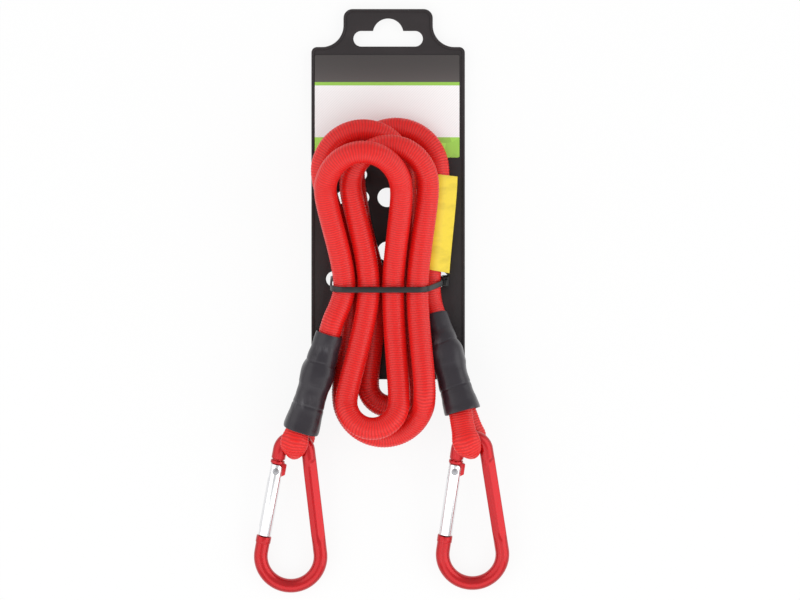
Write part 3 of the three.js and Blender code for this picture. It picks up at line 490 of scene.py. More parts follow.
class Finish:
    """A material that is being made: its nodes and the shader that they feed."""

    def __init__(self, name, **constants):
        self.material = bpy.data.materials.new(name)
        self.material.use_nodes = True
        self.tree = self.material.node_tree
        self.shader = self.tree.nodes["Principled BSDF"]
        for socket, value in constants.items():
            self.put(self.shader.inputs[socket.replace("_", " ")], value)

    def put(self, socket, value):
        """Links a socket to a Value, or sets it to a number or a colour."""
        if isinstance(value, Value):
            self.tree.links.new(value.socket, socket)
        elif socket.type == "RGBA":
            socket.default_value = (*value[:3], 1.0)
        else:
            socket.default_value = value

    def node(self, kind, settings=None, inputs=None, output=0):
        """Adds a node by its type, with its settings set first and then its sockets."""
        node = self.tree.nodes.new("ShaderNode" + kind)
        for name, value in (settings or {}).items():
            setattr(node, name, value)
        for name, value in (inputs or {}).items():
            self.put(node.inputs[name], value)
        return Value(self, node.outputs[output])

    def mix(self, factor, first, second):
        """A colour between two others."""
        return self.node("Mix", {"data_type": "RGBA"}, {0: factor, 6: first, 7: second}, output=2)

    def place(self, axis=None):
        """The point on the surface at rest, or one of its coordinates."""
        point = self.node("TexCoord", output="Object")
        if axis is None:
            return point
        return self.node("SeparateXYZ", inputs={0: point}, output=axis)

    def attribute(self, name):
        """A number that the mesh carries at its points."""
        return self.node("Attribute", {"attribute_name": name}, output="Fac")

    def noise(self, scale, detail=2.0, stretch=(1.0, 1.0, 1.0), roughness=0.5):
        """Cloudy noise, scale being its lumps to a metre."""
        inputs = {0: self.place(), 1: stretch}
        point = self.node("VectorMath", {"operation": "MULTIPLY"}, inputs)
        inputs = {"Vector": point, "Scale": scale, "Detail": detail, "Roughness": roughness}
        return self.node("TexNoise", inputs=inputs)

    def surface(self, base=None, roughness=None, height=None, relief=0.0):
        """Feeds the shader; height is a bump whose unit stands relief metres high."""
        if base is not None:
            self.put(self.shader.inputs["Base Color"], base)
        if roughness is not None:
            self.put(self.shader.inputs["Roughness"], roughness)
        if height is not None:
            bump = self.node("Bump", inputs={"Strength": 1.0, "Distance": relief, "Height": height})
            self.put(self.shader.inputs["Normal"], bump)
        return self.material


# Finishes


def braid_finish(colours):
    """Dyed polyester braid: rounded ribs of fine parallel yarns with a soft sheen, and painted shade in
    the valleys between the ribs.
    """
    finish = Finish("red_braid", IOR=1.47, Sheen_Weight=0.05, Sheen_Roughness=0.3)
    phase = finish.attribute("rib_phase")
    crown = (phase * math.pi).sine() ** 2.0
    yarns = (phase * (12 * math.pi)).sine()
    tone = finish.noise(90, 3)
    fuzz = finish.noise(3800, 2)
    # Painted shade: the colour darkens from the ribs' crowns into the valleys between them; random tone
    # and fuzz vary it on top.
    crown_shade_and_tone = crown * 0.85 + tone * 0.22 + fuzz * 0.1 - 0.1
    base = finish.mix(crown_shade_and_tone, colours.valley, colours.rib)
    roughness = 0.5 - crown * 0.28 + fuzz * 0.1
    return finish.surface(base, roughness, yarns * 0.4 + fuzz, 0.014 * MM)


def rubber_finish(colours):
    """Natural rubber, dusted with talc."""
    finish = Finish("rubber_core", IOR=1.52)
    dust = finish.noise(700, 3)
    dusty = [min(1.0, level * 1.25) for level in colours.rubber]
    base = finish.mix(dust, colours.rubber, dusty)
    return finish.surface(base, 0.7 + dust * 0.2, dust, 0.05 * MM)


def sleeve_finish(colours):
    """Shrunk tube: satin, faintly clouded, with pale rub marks."""
    finish = Finish("black_shrink", IOR=1.48, Specular_IOR_Level=0.45)
    clouds = finish.noise(120, 4)
    patches = finish.noise(75, 2).between(0.55, 0.75)
    grain = finish.noise(700, 3, stretch=(1.0, 0.3, 1.0))
    rubs = patches * grain.between(0.35, 0.8)
    light = [level * 1.35 for level in colours.sleeve]
    base = finish.mix(rubs * 0.4, finish.mix(clouds, colours.sleeve, light), colours.scuff)
    roughness = 0.28 + clouds * 0.14 + rubs * 0.25
    return finish.surface(base, roughness, clouds + grain * 0.2, 0.16 * MM)


def metal_finish(name, colours):
    """Bare or anodised metal with the fine grain of its drawing or turning."""
    look = METALS[name]
    bright = getattr(colours, look.colour)
    finish = Finish(name, Metallic=1.0, Coat_Weight=look.coat, Coat_Roughness=0.13, Coat_IOR=1.6)
    grain = finish.noise(look.grain, 3, look.stretch)
    clouds = finish.noise(160, 2)
    dim = [level * 0.86 for level in bright]
    base = finish.mix(clouds * 0.6 + grain * 0.4, dim, bright)
    return finish.surface(base, look.smooth + grain * 0.1 + clouds * 0.05, grain, look.relief)


def moulded_finish(name, colours):
    """Moulded plastic with a spark-eroded grain and faint handling marks."""
    look = PLASTICS[name]
    plain = getattr(colours, look.colour)
    finish = Finish(name, IOR=1.49)
    grain = finish.noise(3200, 2)
    marks = finish.noise(60, 3, stretch=(1.0, 2.6, 1.0))
    paler = [level * look.pale for level in plain]
    base = finish.mix(marks.between(0.42, 0.72), plain, paler)
    return finish.surface(base, look.smooth + marks * 0.16, grain, look.relief)


def print_finish(colours, insert):
    """Coated board with a plain print: a dark band, a thin stripe, a pale field and a coloured foot."""
    finish = Finish("printed_card", IOR=1.45, Coat_Weight=0.25, Coat_Roughness=0.15)
    down = (insert.top + float(WAIST[1])) - finish.place("Y")
    across = finish.place("X")
    fibre = finish.noise(2600, 3)
    tall = insert.top - insert.bottom
    weave = abs((across * 2600 + down * 2600).sine()).between(0.86, 0.98)
    field = finish.mix(weave * 0.1, colours.paper, colours.band)
    glow = (down / insert.band) ** 2.0
    dark = [level * 0.55 for level in colours.band]
    band = finish.mix(glow, dark, colours.band)
    pale_stripe = [min(1.0, level * 1.5) for level in colours.stripe]
    cells = finish.node("TexVoronoi", inputs={"Vector": finish.place(), "Scale": 150.0}, output="Color")
    tone = finish.node("SeparateColor", inputs={0: cells}, output=0)
    foot = finish.mix(tone, colours.stripe, pale_stripe)
    base = band
    rule_end = insert.band + insert.rule
    for start, below in ((insert.band, colours.stripe), (rule_end, field), (tall - insert.foot, foot)):
        base = finish.mix(down.between(start - PRINT_EDGE, start + PRINT_EDGE), base, below)
    return finish.surface(base, 0.36 + fibre * 0.14, fibre, 0.02 * MM)


def vinyl_finish(colours):
    """Soft vinyl with handling creases, whose hollows are darkened with painted shade."""
    finish = Finish("yellow_vinyl", IOR=1.5)
    creases = finish.noise(170, 2, stretch=(0.5, 1.6, 1.0))
    fine = finish.noise(1800, 2)
    # Painted shade: a darker yellow, put where the creases sink.
    deep = [level * 0.82 for level in colours.vinyl]
    base = finish.mix(creases.between(0.25, 0.6), deep, colours.vinyl)
    return finish.surface(base, 0.38 + fine * 0.12, creases + fine * 0.06, 0.35 * MM)


def floor_finish(colours, glow):
    """A pale floor that shows plain white to the camera and keeps the soft shadow."""
    finish = Finish("stage_floor", Roughness=0.9, Base_Color=colours.floor)
    seen = finish.node("LightPath", output="Is Camera Ray")
    mirrored = finish.node("LightPath", output="Is Glossy Ray")
    through = finish.node("LightPath", output="Is Transmission Ray")
    white = finish.node("Emission", inputs={"Color": (1.0, 1.0, 1.0), "Strength": 1.0})
    shaded = Value(finish, finish.shader.outputs[0])
    total = seen + mirrored + through
    whiteness = total.math("MINIMUM", total, 1.0) * glow
    mixed = finish.node("MixShader", inputs={0: whiteness, 1: shaded, 2: white})
    finish.put(finish.tree.nodes["Material Output"].inputs["Surface"], mixed)
    return finish.material


FINISHES = {}


def finish_for(slot, settings):
    """The finish of a material slot, made when it is first asked for."""
    colours = settings.colours
    if slot in FINISHES:
        return FINISHES[slot]
    if slot in METALS:
        made = metal_finish(slot, colours)
    elif slot in PLASTICS:
        made = moulded_finish(slot, colours)
    elif slot == "printed_card":
        made = print_finish(colours, settings.insert)
    else:
        makers = {
            "red_braid": braid_finish,
            "rubber_core": rubber_finish,
            "black_shrink": sleeve_finish,
            "yellow_vinyl": vinyl_finish,
        }
        made = makers[slot](colours)
    FINISHES[slot] = made
    return made


# Lines and rings


def unit(vectors):
    """Vectors of length 1 in the same directions."""
    return vectors / np.linalg.norm(vectors, axis=-1, keepdims=True)


def run_along(line):
    """Distances along a line of points."""
    gaps = np.linalg.norm(np.diff(line, axis=0), axis=1)
    return np.concatenate([[0.0], np.cumsum(gaps)])


def at_distances(line, run, distances):
    """Points of a line at distances along it."""
    columns = [np.interp(distances, run, line[:, k]) for k in range(line.shape[1])]
    return np.column_stack(columns)


def smooth_line(points, steps=LINE_STEPS):
    """Points on a centripetal curve through some points, with as many steps between each two."""
    inside = np.asarray(points, float)
    before = 2 * inside[0] - inside[1]
    after = 2 * inside[-1] - inside[-2]
    knots = np.vstack([before, inside, after])
    t = np.linspace(0, 1, steps, endpoint=False)[:, None]
    spans = []
    for a, b, c, d in zip(knots[:-3], knots[1:-2], knots[2:-1], knots[3:]):
        ab, bc, cd = (math.sqrt(np.linalg.norm(q - p)) for p, q in ((a, b), (b, c), (c, d)))
        leave = ((b - a) / ab - (c - a) / (ab + bc) + (c - b) / bc) * bc
        arrive = ((c - b) / bc - (d - b) / (bc + cd) + (d - c) / cd) * bc
        cubic = (2 * (b - c) + leave + arrive) * t**3
        square = (3 * (c - b) - 2 * leave - arrive) * t**2
        spans.append(b + leave * t + square + cubic)
    return np.vstack([*spans, inside[-1:]])


def rings_across(at, along, up, sections):
    """Rings of points across a line: a section's second coordinate rises towards up."""
    tangent = unit(along)
    rise = unit(up - tangent * np.sum(up * tangent, axis=1, keepdims=True))
    side = np.cross(rise, tangent)
    sections = np.broadcast_to(sections, (len(at), *np.shape(sections)[-2:]))
    across = sections[:, :, :1] * side[:, None, :]
    return at[:, None, :] + across + sections[:, :, 1:] * rise[:, None, :]


def round_about(sides):
    """Angles of points that are evenly spaced round a circle."""
    return np.linspace(0, 2 * math.pi, sides, endpoint=False)


def upright(at):
    """The direction out of the card at each point of a line."""
    return np.broadcast_to(UP, at.shape)


def oval(sides, half_width, half_depth, power=2.0):
    """Sections with as many points as sides; a power over 2 squares them up."""
    angle = round_about(sides)
    power = np.asarray(power, float)[..., None]
    across = np.sign(np.cos(angle)) * np.abs(np.cos(angle)) ** (2 / power)
    rise = np.sign(np.sin(angle)) * np.abs(np.sin(angle)) ** (2 / power)
    wide = np.asarray(half_width, float)[..., None] * across
    deep = np.asarray(half_depth, float)[..., None] * rise
    return np.stack([wide, deep], axis=-1)


class EndLine:
    """The line from a sleeve's mouth to the middle of its carabiner's small bow."""

    def __init__(self, side):
        end = ENDS[side]
        swing = JOINTS[f"{side}_swing"]
        self.normal = np.array(swing["axis"])
        start = WAIST + np.array(end["mouth"]) * MM
        finish = np.array(swing["pos_m"])
        heading = math.radians(end["heading"])
        into = np.array([math.sin(heading), -math.cos(heading), 0.0])
        into[2] = -into.dot(self.normal) / self.normal[2]
        bend = finish - unit(into) * end["knee"] * np.linalg.norm(finish - start)
        t = np.linspace(0, 1, 401)[:, None]
        self.line = (1 - t) ** 2 * start + 2 * t * (1 - t) * bend + t**2 * finish
        self.slope = unit(2 * (1 - t) * (bend - start) + 2 * t * (finish - bend))
        self.run = run_along(self.line)
        self.length = self.run[-1]

    def stations(self, distances, heights=0.0):
        """Points at distances along the line and heights out of it, with the directions there."""
        distances = np.asarray(distances, float)
        inside = np.clip(distances, 0, self.length)
        along = unit(at_distances(self.slope, self.run, inside))
        up = unit(self.normal - along * (along @ self.normal)[:, None])
        at = at_distances(self.line, self.run, inside) + along * (distances - inside)[:, None]
        heights = np.broadcast_to(heights, distances.shape)
        return at + up * heights[:, None], along, up


class Lanes:
    """Where the strands of the hank lie at its waist."""

    def __init__(self, settings):
        cord = settings.cord
        self.pitch = cord.diameter + cord.strand_air
        self.back = settings.card.plate_front + cord.under_air + cord.diameter / 2
        self.shift = cord.back_shift
        self.front = self.back + math.sqrt(self.pitch**2 - (self.pitch / 2 - self.shift) ** 2)

    def x(self, in_back, lane):
        """A lane's place across; the two layers are staggered by half a lane."""
        shift = self.shift if in_back and lane < 2 else 0.0
        return self.pitch * (lane - 1.5 + (0.25 if in_back else -0.25)) - shift

    def waist(self, in_back, lane):
        """The point where a lane crosses the waist."""
        layer = self.back if in_back else self.front
        return WAIST + np.array([[self.x(in_back, lane), 0.0, layer]])

    def bow(self, bow, start):
        """The points of a bow, half a turn clockwise from its start."""
        middle, radius, (first, peak, last) = bow
        way = np.linspace(0, 1, BOW_STEPS + 1)
        angle = start - math.pi * way
        foot = np.where(way < 0.5, first, last)
        height = foot + (peak - foot) * np.sin(math.pi * way)
        x = (middle[0] + radius * np.cos(angle)) * MM
        y = (middle[1] + radius * np.sin(angle)) * MM
        return WAIST + np.column_stack([x, y, self.back + self.pitch * height])


def hank_points(settings, lines):
    """The points that the wound cord passes through, from its left end to its right end."""
    lanes = Lanes(settings)
    into = settings.ends.cord_in
    points = [lines["left"].stations([into, 0.0, -into])[0]]
    for number, bow in enumerate(TOP_BOWS):
        in_back = number > 1
        lane = number % 2
        points.append(lanes.waist(in_back, lane))
        if bow is TOP_BOWS[-1]:
            points.append(WAIST + np.array([[LAST_KNEE[0] * MM, LAST_KNEE[1] * MM, lanes.back]]))
        points.append(lanes.bow(bow, math.pi))
        points.append(lanes.waist(in_back, lane + 2))
        if number < len(BOTTOM_BOWS):
            points.append(lanes.bow(BOTTOM_BOWS[number], 0.0))
    points.append(lines["right"].stations([-into, 0.0, into])[0])
    return np.vstack(points)


# Meshes


def mesh_of(name, points, faces, sharp=40):
    """A smooth-shaded mesh whose edges over an angle in degrees stay sharp."""
    mesh = bpy.data.meshes.new(name)
    mesh.from_pydata(points, [], faces)
    return shaded(mesh, sharp)


def shaded(mesh, sharp=40):
    """Shades a mesh smooth; its edges over an angle in degrees stay sharp."""
    mesh.shade_smooth()
    mesh.set_sharp_from_angle(angle=math.radians(sharp))
    return mesh


def wall(loops):
    """Faces between loops of point numbers that follow each other."""
    here, there = loops[:-1], loops[1:]
    corners = [here, np.roll(here, -1, axis=1), np.roll(there, -1, axis=1), there]
    return np.stack(corners, axis=-1).reshape(-1, 4).tolist()


def skin(name, outer, inner=None, closed=False, sharp=40):
    """A mesh over rings: a capped solid, a tube with an inner wall, or a loop closed on itself."""
    rows, sides = outer.shape[:2]
    loops = np.arange(rows * sides).reshape(rows, sides)
    points = outer.reshape(-1, 3)
    if closed:
        faces = wall(np.vstack([loops, loops[:1]]))
    elif inner is None:
        faces = wall(loops)
        faces.append(loops[0, ::-1].tolist())
        faces.append(loops[-1].tolist())
    else:
        hollow = np.arange(inner.shape[0] * sides).reshape(-1, sides) + len(points)
        points = np.vstack([points, inner.reshape(-1, 3)])
        faces = wall(loops)
        faces += [face[::-1] for face in wall(hollow)]
        faces += wall(np.vstack([hollow[:1], loops[:1]]))
        faces += wall(np.vstack([loops[-1:], hollow[-1:]]))
    return mesh_of(name, points.tolist(), faces, sharp)


def lathe(name, profile, sides, axis="Y"):
    """A turned solid: its profile's points are (radius, place along the axis)."""
    radius, place = np.asarray(profile, float).T
    angle = round_about(sides)
    first = radius[:, None] * np.cos(angle)
    second = radius[:, None] * np.sin(angle)
    along = np.broadcast_to(place[:, None], first.shape)
    order = {"Y": (-first, along, second), "Z": (first, second, along)}
    return skin(name, np.stack(order[axis], axis=-1))


def prism(name, outline, low, high):
    """A flat outline raised from one height to another."""
    outline = np.asarray(outline, float)
    rings = [np.column_stack([outline, np.full(len(outline), z)]) for z in (low, high)]
    return skin(name, np.stack(rings))


def block(name, x, y, z):
    """A box between two values on each axis."""
    corners = [(x[0], y[0]), (x[1], y[0]), (x[1], y[1]), (x[0], y[1])]
    return prism(name, corners, *z)


def softened(mesh, width, segments=3):
    """Rounds the sharp edges of a mesh."""
    work = bmesh.new()
    work.from_mesh(mesh)
    edges = [edge for edge in work.edges if edge.calc_face_angle(0.0) > math.radians(SOFTEN_OVER)]
    bmesh.ops.bevel(
        work, geom=edges, offset=width, segments=segments, profile=0.5, affect="EDGES", clamp_overlap=True
    )
    work.to_mesh(mesh)
    work.free()
    return shaded(mesh)


def link(name, data):
    """Puts an object that holds some data into the scene."""
    obj = bpy.data.objects.new(name, data)
    bpy.context.scene.collection.objects.link(obj)
    return obj


def carved(mesh, tools, operation="DIFFERENCE", sharp=40):
    """A mesh cut by tools, or joined with them."""
    body = link("carved_body", mesh)
    helpers = [link("carving_tool", tool) for tool in tools]
    for helper in helpers:
        cut = body.modifiers.new("Cut", "BOOLEAN")
        cut.operation = operation
        cut.solver = "EXACT"
        cut.object = helper
    graph = bpy.context.evaluated_depsgraph_get()
    result = bpy.data.meshes.new_from_object(body.evaluated_get(graph))
    for obj in [body, *helpers]:
        bpy.data.objects.remove(obj)
    return shaded(result, sharp)


def arc(x, y, radius, start, end, steps=18):
    """Points of an arc."""
    angle = np.linspace(start, end, steps + 1)
    return np.column_stack([x + radius * np.cos(angle), y + radius * np.sin(angle)])


def plate(name, outlines, low, high, edge):
    """A flat plate with holes and rounded edges: its outline comes first, then its holes."""
    curve = bpy.data.curves.new(name, "CURVE")
    curve.dimensions = "2D"
    curve.fill_mode = "BOTH"
    curve.extrude = (high - low) / 2 - edge
    curve.bevel_depth = edge
    curve.bevel_resolution = 3
    curve.offset = -edge
    for outline in outlines:
        spline = curve.splines.new("POLY")
        spline.points.add(len(outline) - 1)
        spline.points.foreach_set("co", [v for x, y in outline for v in (x, y, 0.0, 1.0)])
        spline.use_cyclic_u = True
    holder = link(name, curve)
    graph = bpy.context.evaluated_depsgraph_get()
    mesh = bpy.data.meshes.new_from_object(holder.evaluated_get(graph))
    bpy.data.objects.remove(holder)
    work = bmesh.new()
    work.from_mesh(mesh)
    bmesh.ops.remove_doubles(work, verts=work.verts, dist=MERGE_WITHIN)
    bmesh.ops.translate(work, verts=work.verts, vec=(0, 0, (low + high) / 2))
    bmesh.ops.recalc_face_normals(work, faces=work.faces)
    work.to_mesh(mesh)
    work.free()
    return shaded(mesh)


def piece(context, name, mesh, slot, body, *nodes):
    """Puts a mesh into the scene as the piece that stands for some of the part's solids."""
    mesh.materials.clear()
    mesh.materials.append(finish_for(slot, context.scene.bungee_cord))
    obj = link(name, mesh)
    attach(obj, body)
    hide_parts(*nodes)
    return obj


class Maker:
    """What the operators share: each makes its pieces from the settings in the scene."""

    def execute(self, context):
        self.make(context, context.scene.bungee_cord)
        return {"FINISHED"}


# Cord


def zigzag(values):
    """Falls from 1 to 0 and climbs back over each whole number."""
    return np.abs(2 * np.mod(values, 1.0) - 1)


def braided(name, cord, at, along, up, half_width, half_depth):
    """A braided cover: rounded ribs run across it, slanted to and fro in columns round it."""
    run = run_along(at)[:, None]
    angle = round_about(cord.sides)
    column = zigzag(cord.column_pairs * angle / (2 * math.pi) + cord.twist * run)
    phase = run / cord.rib_pitch + cord.rib_slant * column
    crown = np.sin(math.pi * phase) ** 2
    seam = np.exp(-((np.minimum(column, 1 - column) / 0.16) ** 2))
    sunk = cord.rib_depth * (1 - crown * (1 - 0.4 * seam))
    section = oval(cord.sides, half_width, half_depth)
    size = np.hypot(section[..., 0], section[..., 1])
    outer = rings_across(at, along, up, section * (1 - sunk / size)[..., None])
    inner = rings_across(at, along, up, section * cord.core_share)[:: cord.rib_rings]
    if (len(at) - 1) % cord.rib_rings:
        inner = np.concatenate([inner, rings_across(at, along, up, section * cord.core_share)[-1:]])
    mesh = skin(name, outer, inner, sharp=180)
    spare = np.zeros(inner.shape[0] * cord.sides)
    layer = mesh.attributes.new("rib_phase", "FLOAT", "POINT")
    layer.data.foreach_set("value", np.concatenate([phase.ravel(), spare]))
    return mesh


def rubber_strands(name, cord, at, along, up, half_width, half_depth):
    """The core: rubber strands side by side."""
    sides = cord.core_strands * 6
    angle = round_about(sides)
    lobes = 0.9 + 0.1 * np.abs(np.cos(cord.core_strands * angle / 2))
    less = cord.core_air
    section = oval(sides, half_width * cord.core_share - less, half_depth * cord.core_share - less)
    return skin(name, rings_across(at, along, up, section * lobes[:, None]))


def evenly(line, step):
    """A line's points at even steps, with the directions and the distances there."""
    run = run_along(line)
    distances = np.linspace(0, run[-1], round(run[-1] / step) + 1)
    at = at_distances(line, run, distances)
    return at, np.gradient(at, axis=0), distances


class BUNGEE_OT_hank(Maker, Operator):
    """Winds the braided cord and its rubber core into the hank"""

    bl_idname = "bungee.hank"
    bl_label = "Wind the hank"

    def make(self, context, settings):
        cord = settings.cord
        lines = {side: EndLine(side) for side in SIDES}
        line = smooth_line(hank_points(settings, lines))
        at, along, distances = evenly(line, cord.rib_pitch / cord.rib_rings)
        radius = np.full(len(at), cord.diameter / 2)
        mesh = braided("braided_cord", cord, at, along, upright(at), radius, radius)
        cover = piece(context, "braided_cord", mesh, "red_braid", HANK, "cord_cover")
        at, along, _ = evenly(line, cord.diameter / 4)
        radius = np.full(len(at), cord.diameter / 2)
        mesh = rubber_strands("cord_strands", cord, at, along, upright(at), radius, radius)
        piece(context, "cord_strands", mesh, "rubber_core", HANK, "cord_core")


# Cord ends


def eye_rows(settings, rod_at):
    """The doubled cord: distance along its line, height, half width, half depth and shift aside."""
    ends = settings.ends
    radius = settings.cord.diameter / 2
    lay = ends.pressed_depth + ends.seat_air
    pressed = (ends.pressed_width - ends.nip, ends.pressed_depth - ends.nip)
    leaving = ends.pressed_width - 0.3 * MM
    half_way = (ends.tail_end + ends.sleeve_length) / 2
    standing = [
        (ends.cord_in + 2 * ends.seat_air, 0.0, radius - 0.1 * MM, radius - 0.1 * MM, 0.0),
        (ends.cord_in + 3 * MM, 0.0, radius - 0.1 * MM, radius - 0.2 * MM, 0.0),
        (ends.tail_end - 4 * MM, 2 * MM, radius, 4.2 * MM, 0.0),
        (ends.tail_end, lay, *pressed, 0.0),
        (half_way, lay, *pressed, 0.0),
        (ends.sleeve_length - 8 * MM, lay, *pressed, 0.0),
        (rod_at - 4 * MM, lay + ends.eye_rise, leaving, ends.pressed_depth, -ends.skew),
    ]
    angle = np.linspace(0, math.pi, 9)
    neck_width = settings.carabiner.small_bow - settings.carabiner.rod - ends.seat_air
    width = ends.eye_width + (neck_width - ends.eye_width) * np.sin(angle) ** 3
    depth = ends.eye_depth + (ends.neck_depth - ends.eye_depth) * np.sin(angle) ** 2
    radius = settings.carabiner.rod + ends.eye_air + depth
    shift = -ends.skew * np.cos(angle) ** 3
    bend = np.column_stack([rod_at + radius * np.sin(angle), radius * np.cos(angle), width, depth, shift])
    tail = [(along, -height, wide, deep, -aside) for along, height, wide, deep, aside in standing[:2:-1]]
    return np.vstack([standing, bend, tail])


class BUNGEE_OT_eyes(Maker, Operator):
    """Doubles the cord's ends round the carabiners"""

    bl_idname = "bungee.eyes"
    bl_label = "Lay the eyes"

    def make(self, context, settings):
        cord = settings.cord
        rib_step = cord.rib_pitch / cord.rib_rings
        layers = (
            ("braid", "cover", rib_step, braided, "red_braid"),
            ("strands", "core", cord.diameter / 8, rubber_strands, "rubber_core"),
        )
        for side in SIDES:
            line = EndLine(side)
            rows = eye_rows(settings, line.length - settings.carabiner.small_bow)
            points, ahead, rise = line.stations(rows[:, 0], rows[:, 1])
            points += np.cross(rise, ahead) * rows[:, 4:]
            path = smooth_line(np.column_stack([points, rows]))
            run = run_along(path[:, :3])
            for kind, node, step, maker, slot in layers:
                distances = np.linspace(0, run[-1], round(run[-1] / step) + 1)
                table = at_distances(path, run, distances)
                at = table[:, :3]
                along = np.gradient(at, axis=0)
                _, ahead, rise = line.stations(table[:, 3])
                up = np.cross(along, np.cross(rise, ahead))
                name = f"{side}_eye_{kind}"
                mesh = maker(name, cord, at, along, up, table[:, 5], table[:, 6])
                piece(context, name, mesh, slot, HANK, f"{side}_eye_{node}")


def sleeve_rows(settings):
    """A sleeve's inner half width, half depth and squareness by distance from its mouth."""
    ends = settings.ends
    near = settings.cord.diameter / 2 + ends.seat_air + LOOSE_FIT
    wide = ends.pressed_width + ends.seat_air + 0.1 * MM
    deep = 2 * ends.pressed_depth + 2 * ends.seat_air
    over = ends.clamp_wall + ends.seat_air
    square = ends.sleeve_power
    return np.array([
        (0.0, near, near, 2.0),
        (ends.tail_end - 8.5 * MM, near, near + 0.2 * MM, 2.0),
        (ends.tail_end - 4 * MM, near + 0.5 * MM, deep - 0.5 * MM, 2.5),
        (ends.tail_end - 1.5 * MM, wide, deep, square),
        (ends.clamp_from - 0.6 * MM, wide + over, deep + over, square),
        (ends.clamp_to + 0.6 * MM, wide + over, deep + over, square),
        (ends.clamp_to + 2.2 * MM, wide, deep + 0.1 * MM, square),
        (ends.sleeve_length - 9 * MM, wide + 0.3 * MM, deep + 0.1 * MM, square),
        (ends.sleeve_length - 4 * MM, wide + 0.9 * MM, deep + 1 * MM, square),
        (ends.sleeve_length, wide + 1.3 * MM, deep + 2.6 * MM, square),
    ])


def eased(x, xs, ys):
    """Values between rows, with a smooth climb from each to the next."""
    spot = np.clip(np.searchsorted(xs, x, side="right") - 1, 0, len(xs) - 2)
    t = np.clip((x - xs[spot]) / (xs[spot + 1] - xs[spot]), 0, 1)
    return ys[spot] + (ys[spot + 1] - ys[spot]) * t * t * (3 - 2 * t)


def blurred(values, spread):
    """Values smoothed over as many neighbours to each side as the spread."""
    weights = np.hanning(2 * spread + 3)[1:-1]
    return np.convolve(np.pad(values, spread, mode="edge"), weights / weights.sum(), mode="valid")


class BUNGEE_OT_sleeves(Maker, Operator):
    """Shrinks a sleeve over each doubled end"""

    bl_idname = "bungee.sleeves"
    bl_label = "Shrink the sleeves"

    def make(self, context, settings):
        ends = settings.ends
        rows = sleeve_rows(settings)
        sides = SLEEVE_SIDES
        distances = np.linspace(0, ends.sleeve_length, SLEEVE_RINGS)
        wide, deep, power = (eased(distances, rows[:, 0], rows[:, k]) for k in (1, 2, 3))
        wide_over, deep_over = (
            np.maximum(blurred(half, SLEEVE_BLUR), half - ends.sleeve_thin) for half in (wide, deep)
        )
        angle = round_about(sides)
        for number, side in enumerate(SIDES):
            at, along, up = EndLine(side).stations(distances)
            section = oval(sides, wide_over, deep_over, power)
            size = np.hypot(section[..., 0], section[..., 1])
            far = distances[:, None] / ends.sleeve_length
            slant = distances[:, None] + CREASE_SLANT * np.sin(angle + 2 * number)
            creases = sum(np.exp(-(((slant - place * MM) / CREASE_WIDTH) ** 2)) for place in CREASES)
            ripple = np.sin(RIPPLE_TURN * far + 2 * np.sin(angle + number) + 3 * number)
            folds = np.sin(FOLD_TURN * far + 1.6 * np.sin(2 * angle + 2 * number))
            folds = folds * np.sin(math.pi * far)
            lips = np.exp(-far / LIP_SHARE) + np.exp(-(1 - far) / LIP_SHARE)
            raised = RIPPLE_HEIGHT * ripple + FOLD_HEIGHT * folds
            relief = raised - LIP_DEPTH * lips - CREASE_DEPTH * creases
            grown = size + ends.sleeve_wall + relief * MM
            outer = rings_across(at, along, up, section * (grown / size)[..., None])
            lining = rings_across(at, along, up, oval(sides, wide, deep, power))
            inner = np.concatenate([lining[:-1:3], lining[-1:]])
            mesh = skin(f"{side}_shrunk_tube", outer, inner, sharp=60)
            piece(context, f"{side}_shrunk_tube", mesh, "black_shrink", HANK, f"{side}_sleeve")


# Carabiners


def carabiner_turn(side):
    """The turn of a carabiner's plane, from the axis that it swings on."""
    normal = Vector(JOINTS[f"{side}_swing"]["axis"])
    lean = Matrix.Rotation(math.atan2(normal.x, -normal.y), 4, "Z")
    return lean @ Matrix.Rotation(math.acos(normal.z), 4, "X")


def carabiner_place(side):
    """The carabiner's own space: the small bow's middle is its origin."""
    return Matrix.Translation(JOINTS[f"{side}_swing"]["pos_m"]) @ carabiner_turn(side)


def side_tilt(carabiner):
    """How far the carabiner's straight sides lean out towards its big bow."""
    return math.asin((carabiner.big_bow - carabiner.small_bow) / carabiner.spacing)


def gate_place(side, carabiner):
    """The gate's own space: its pin is the origin, it hangs down -Y and +X is inside."""
    hinge = Matrix.Translation(JOINTS[f"{side}_gate_hinge"]["pos_m"])
    return hinge @ carabiner_turn(side) @ Matrix.Rotation(-side_tilt(carabiner), 4, "Z")


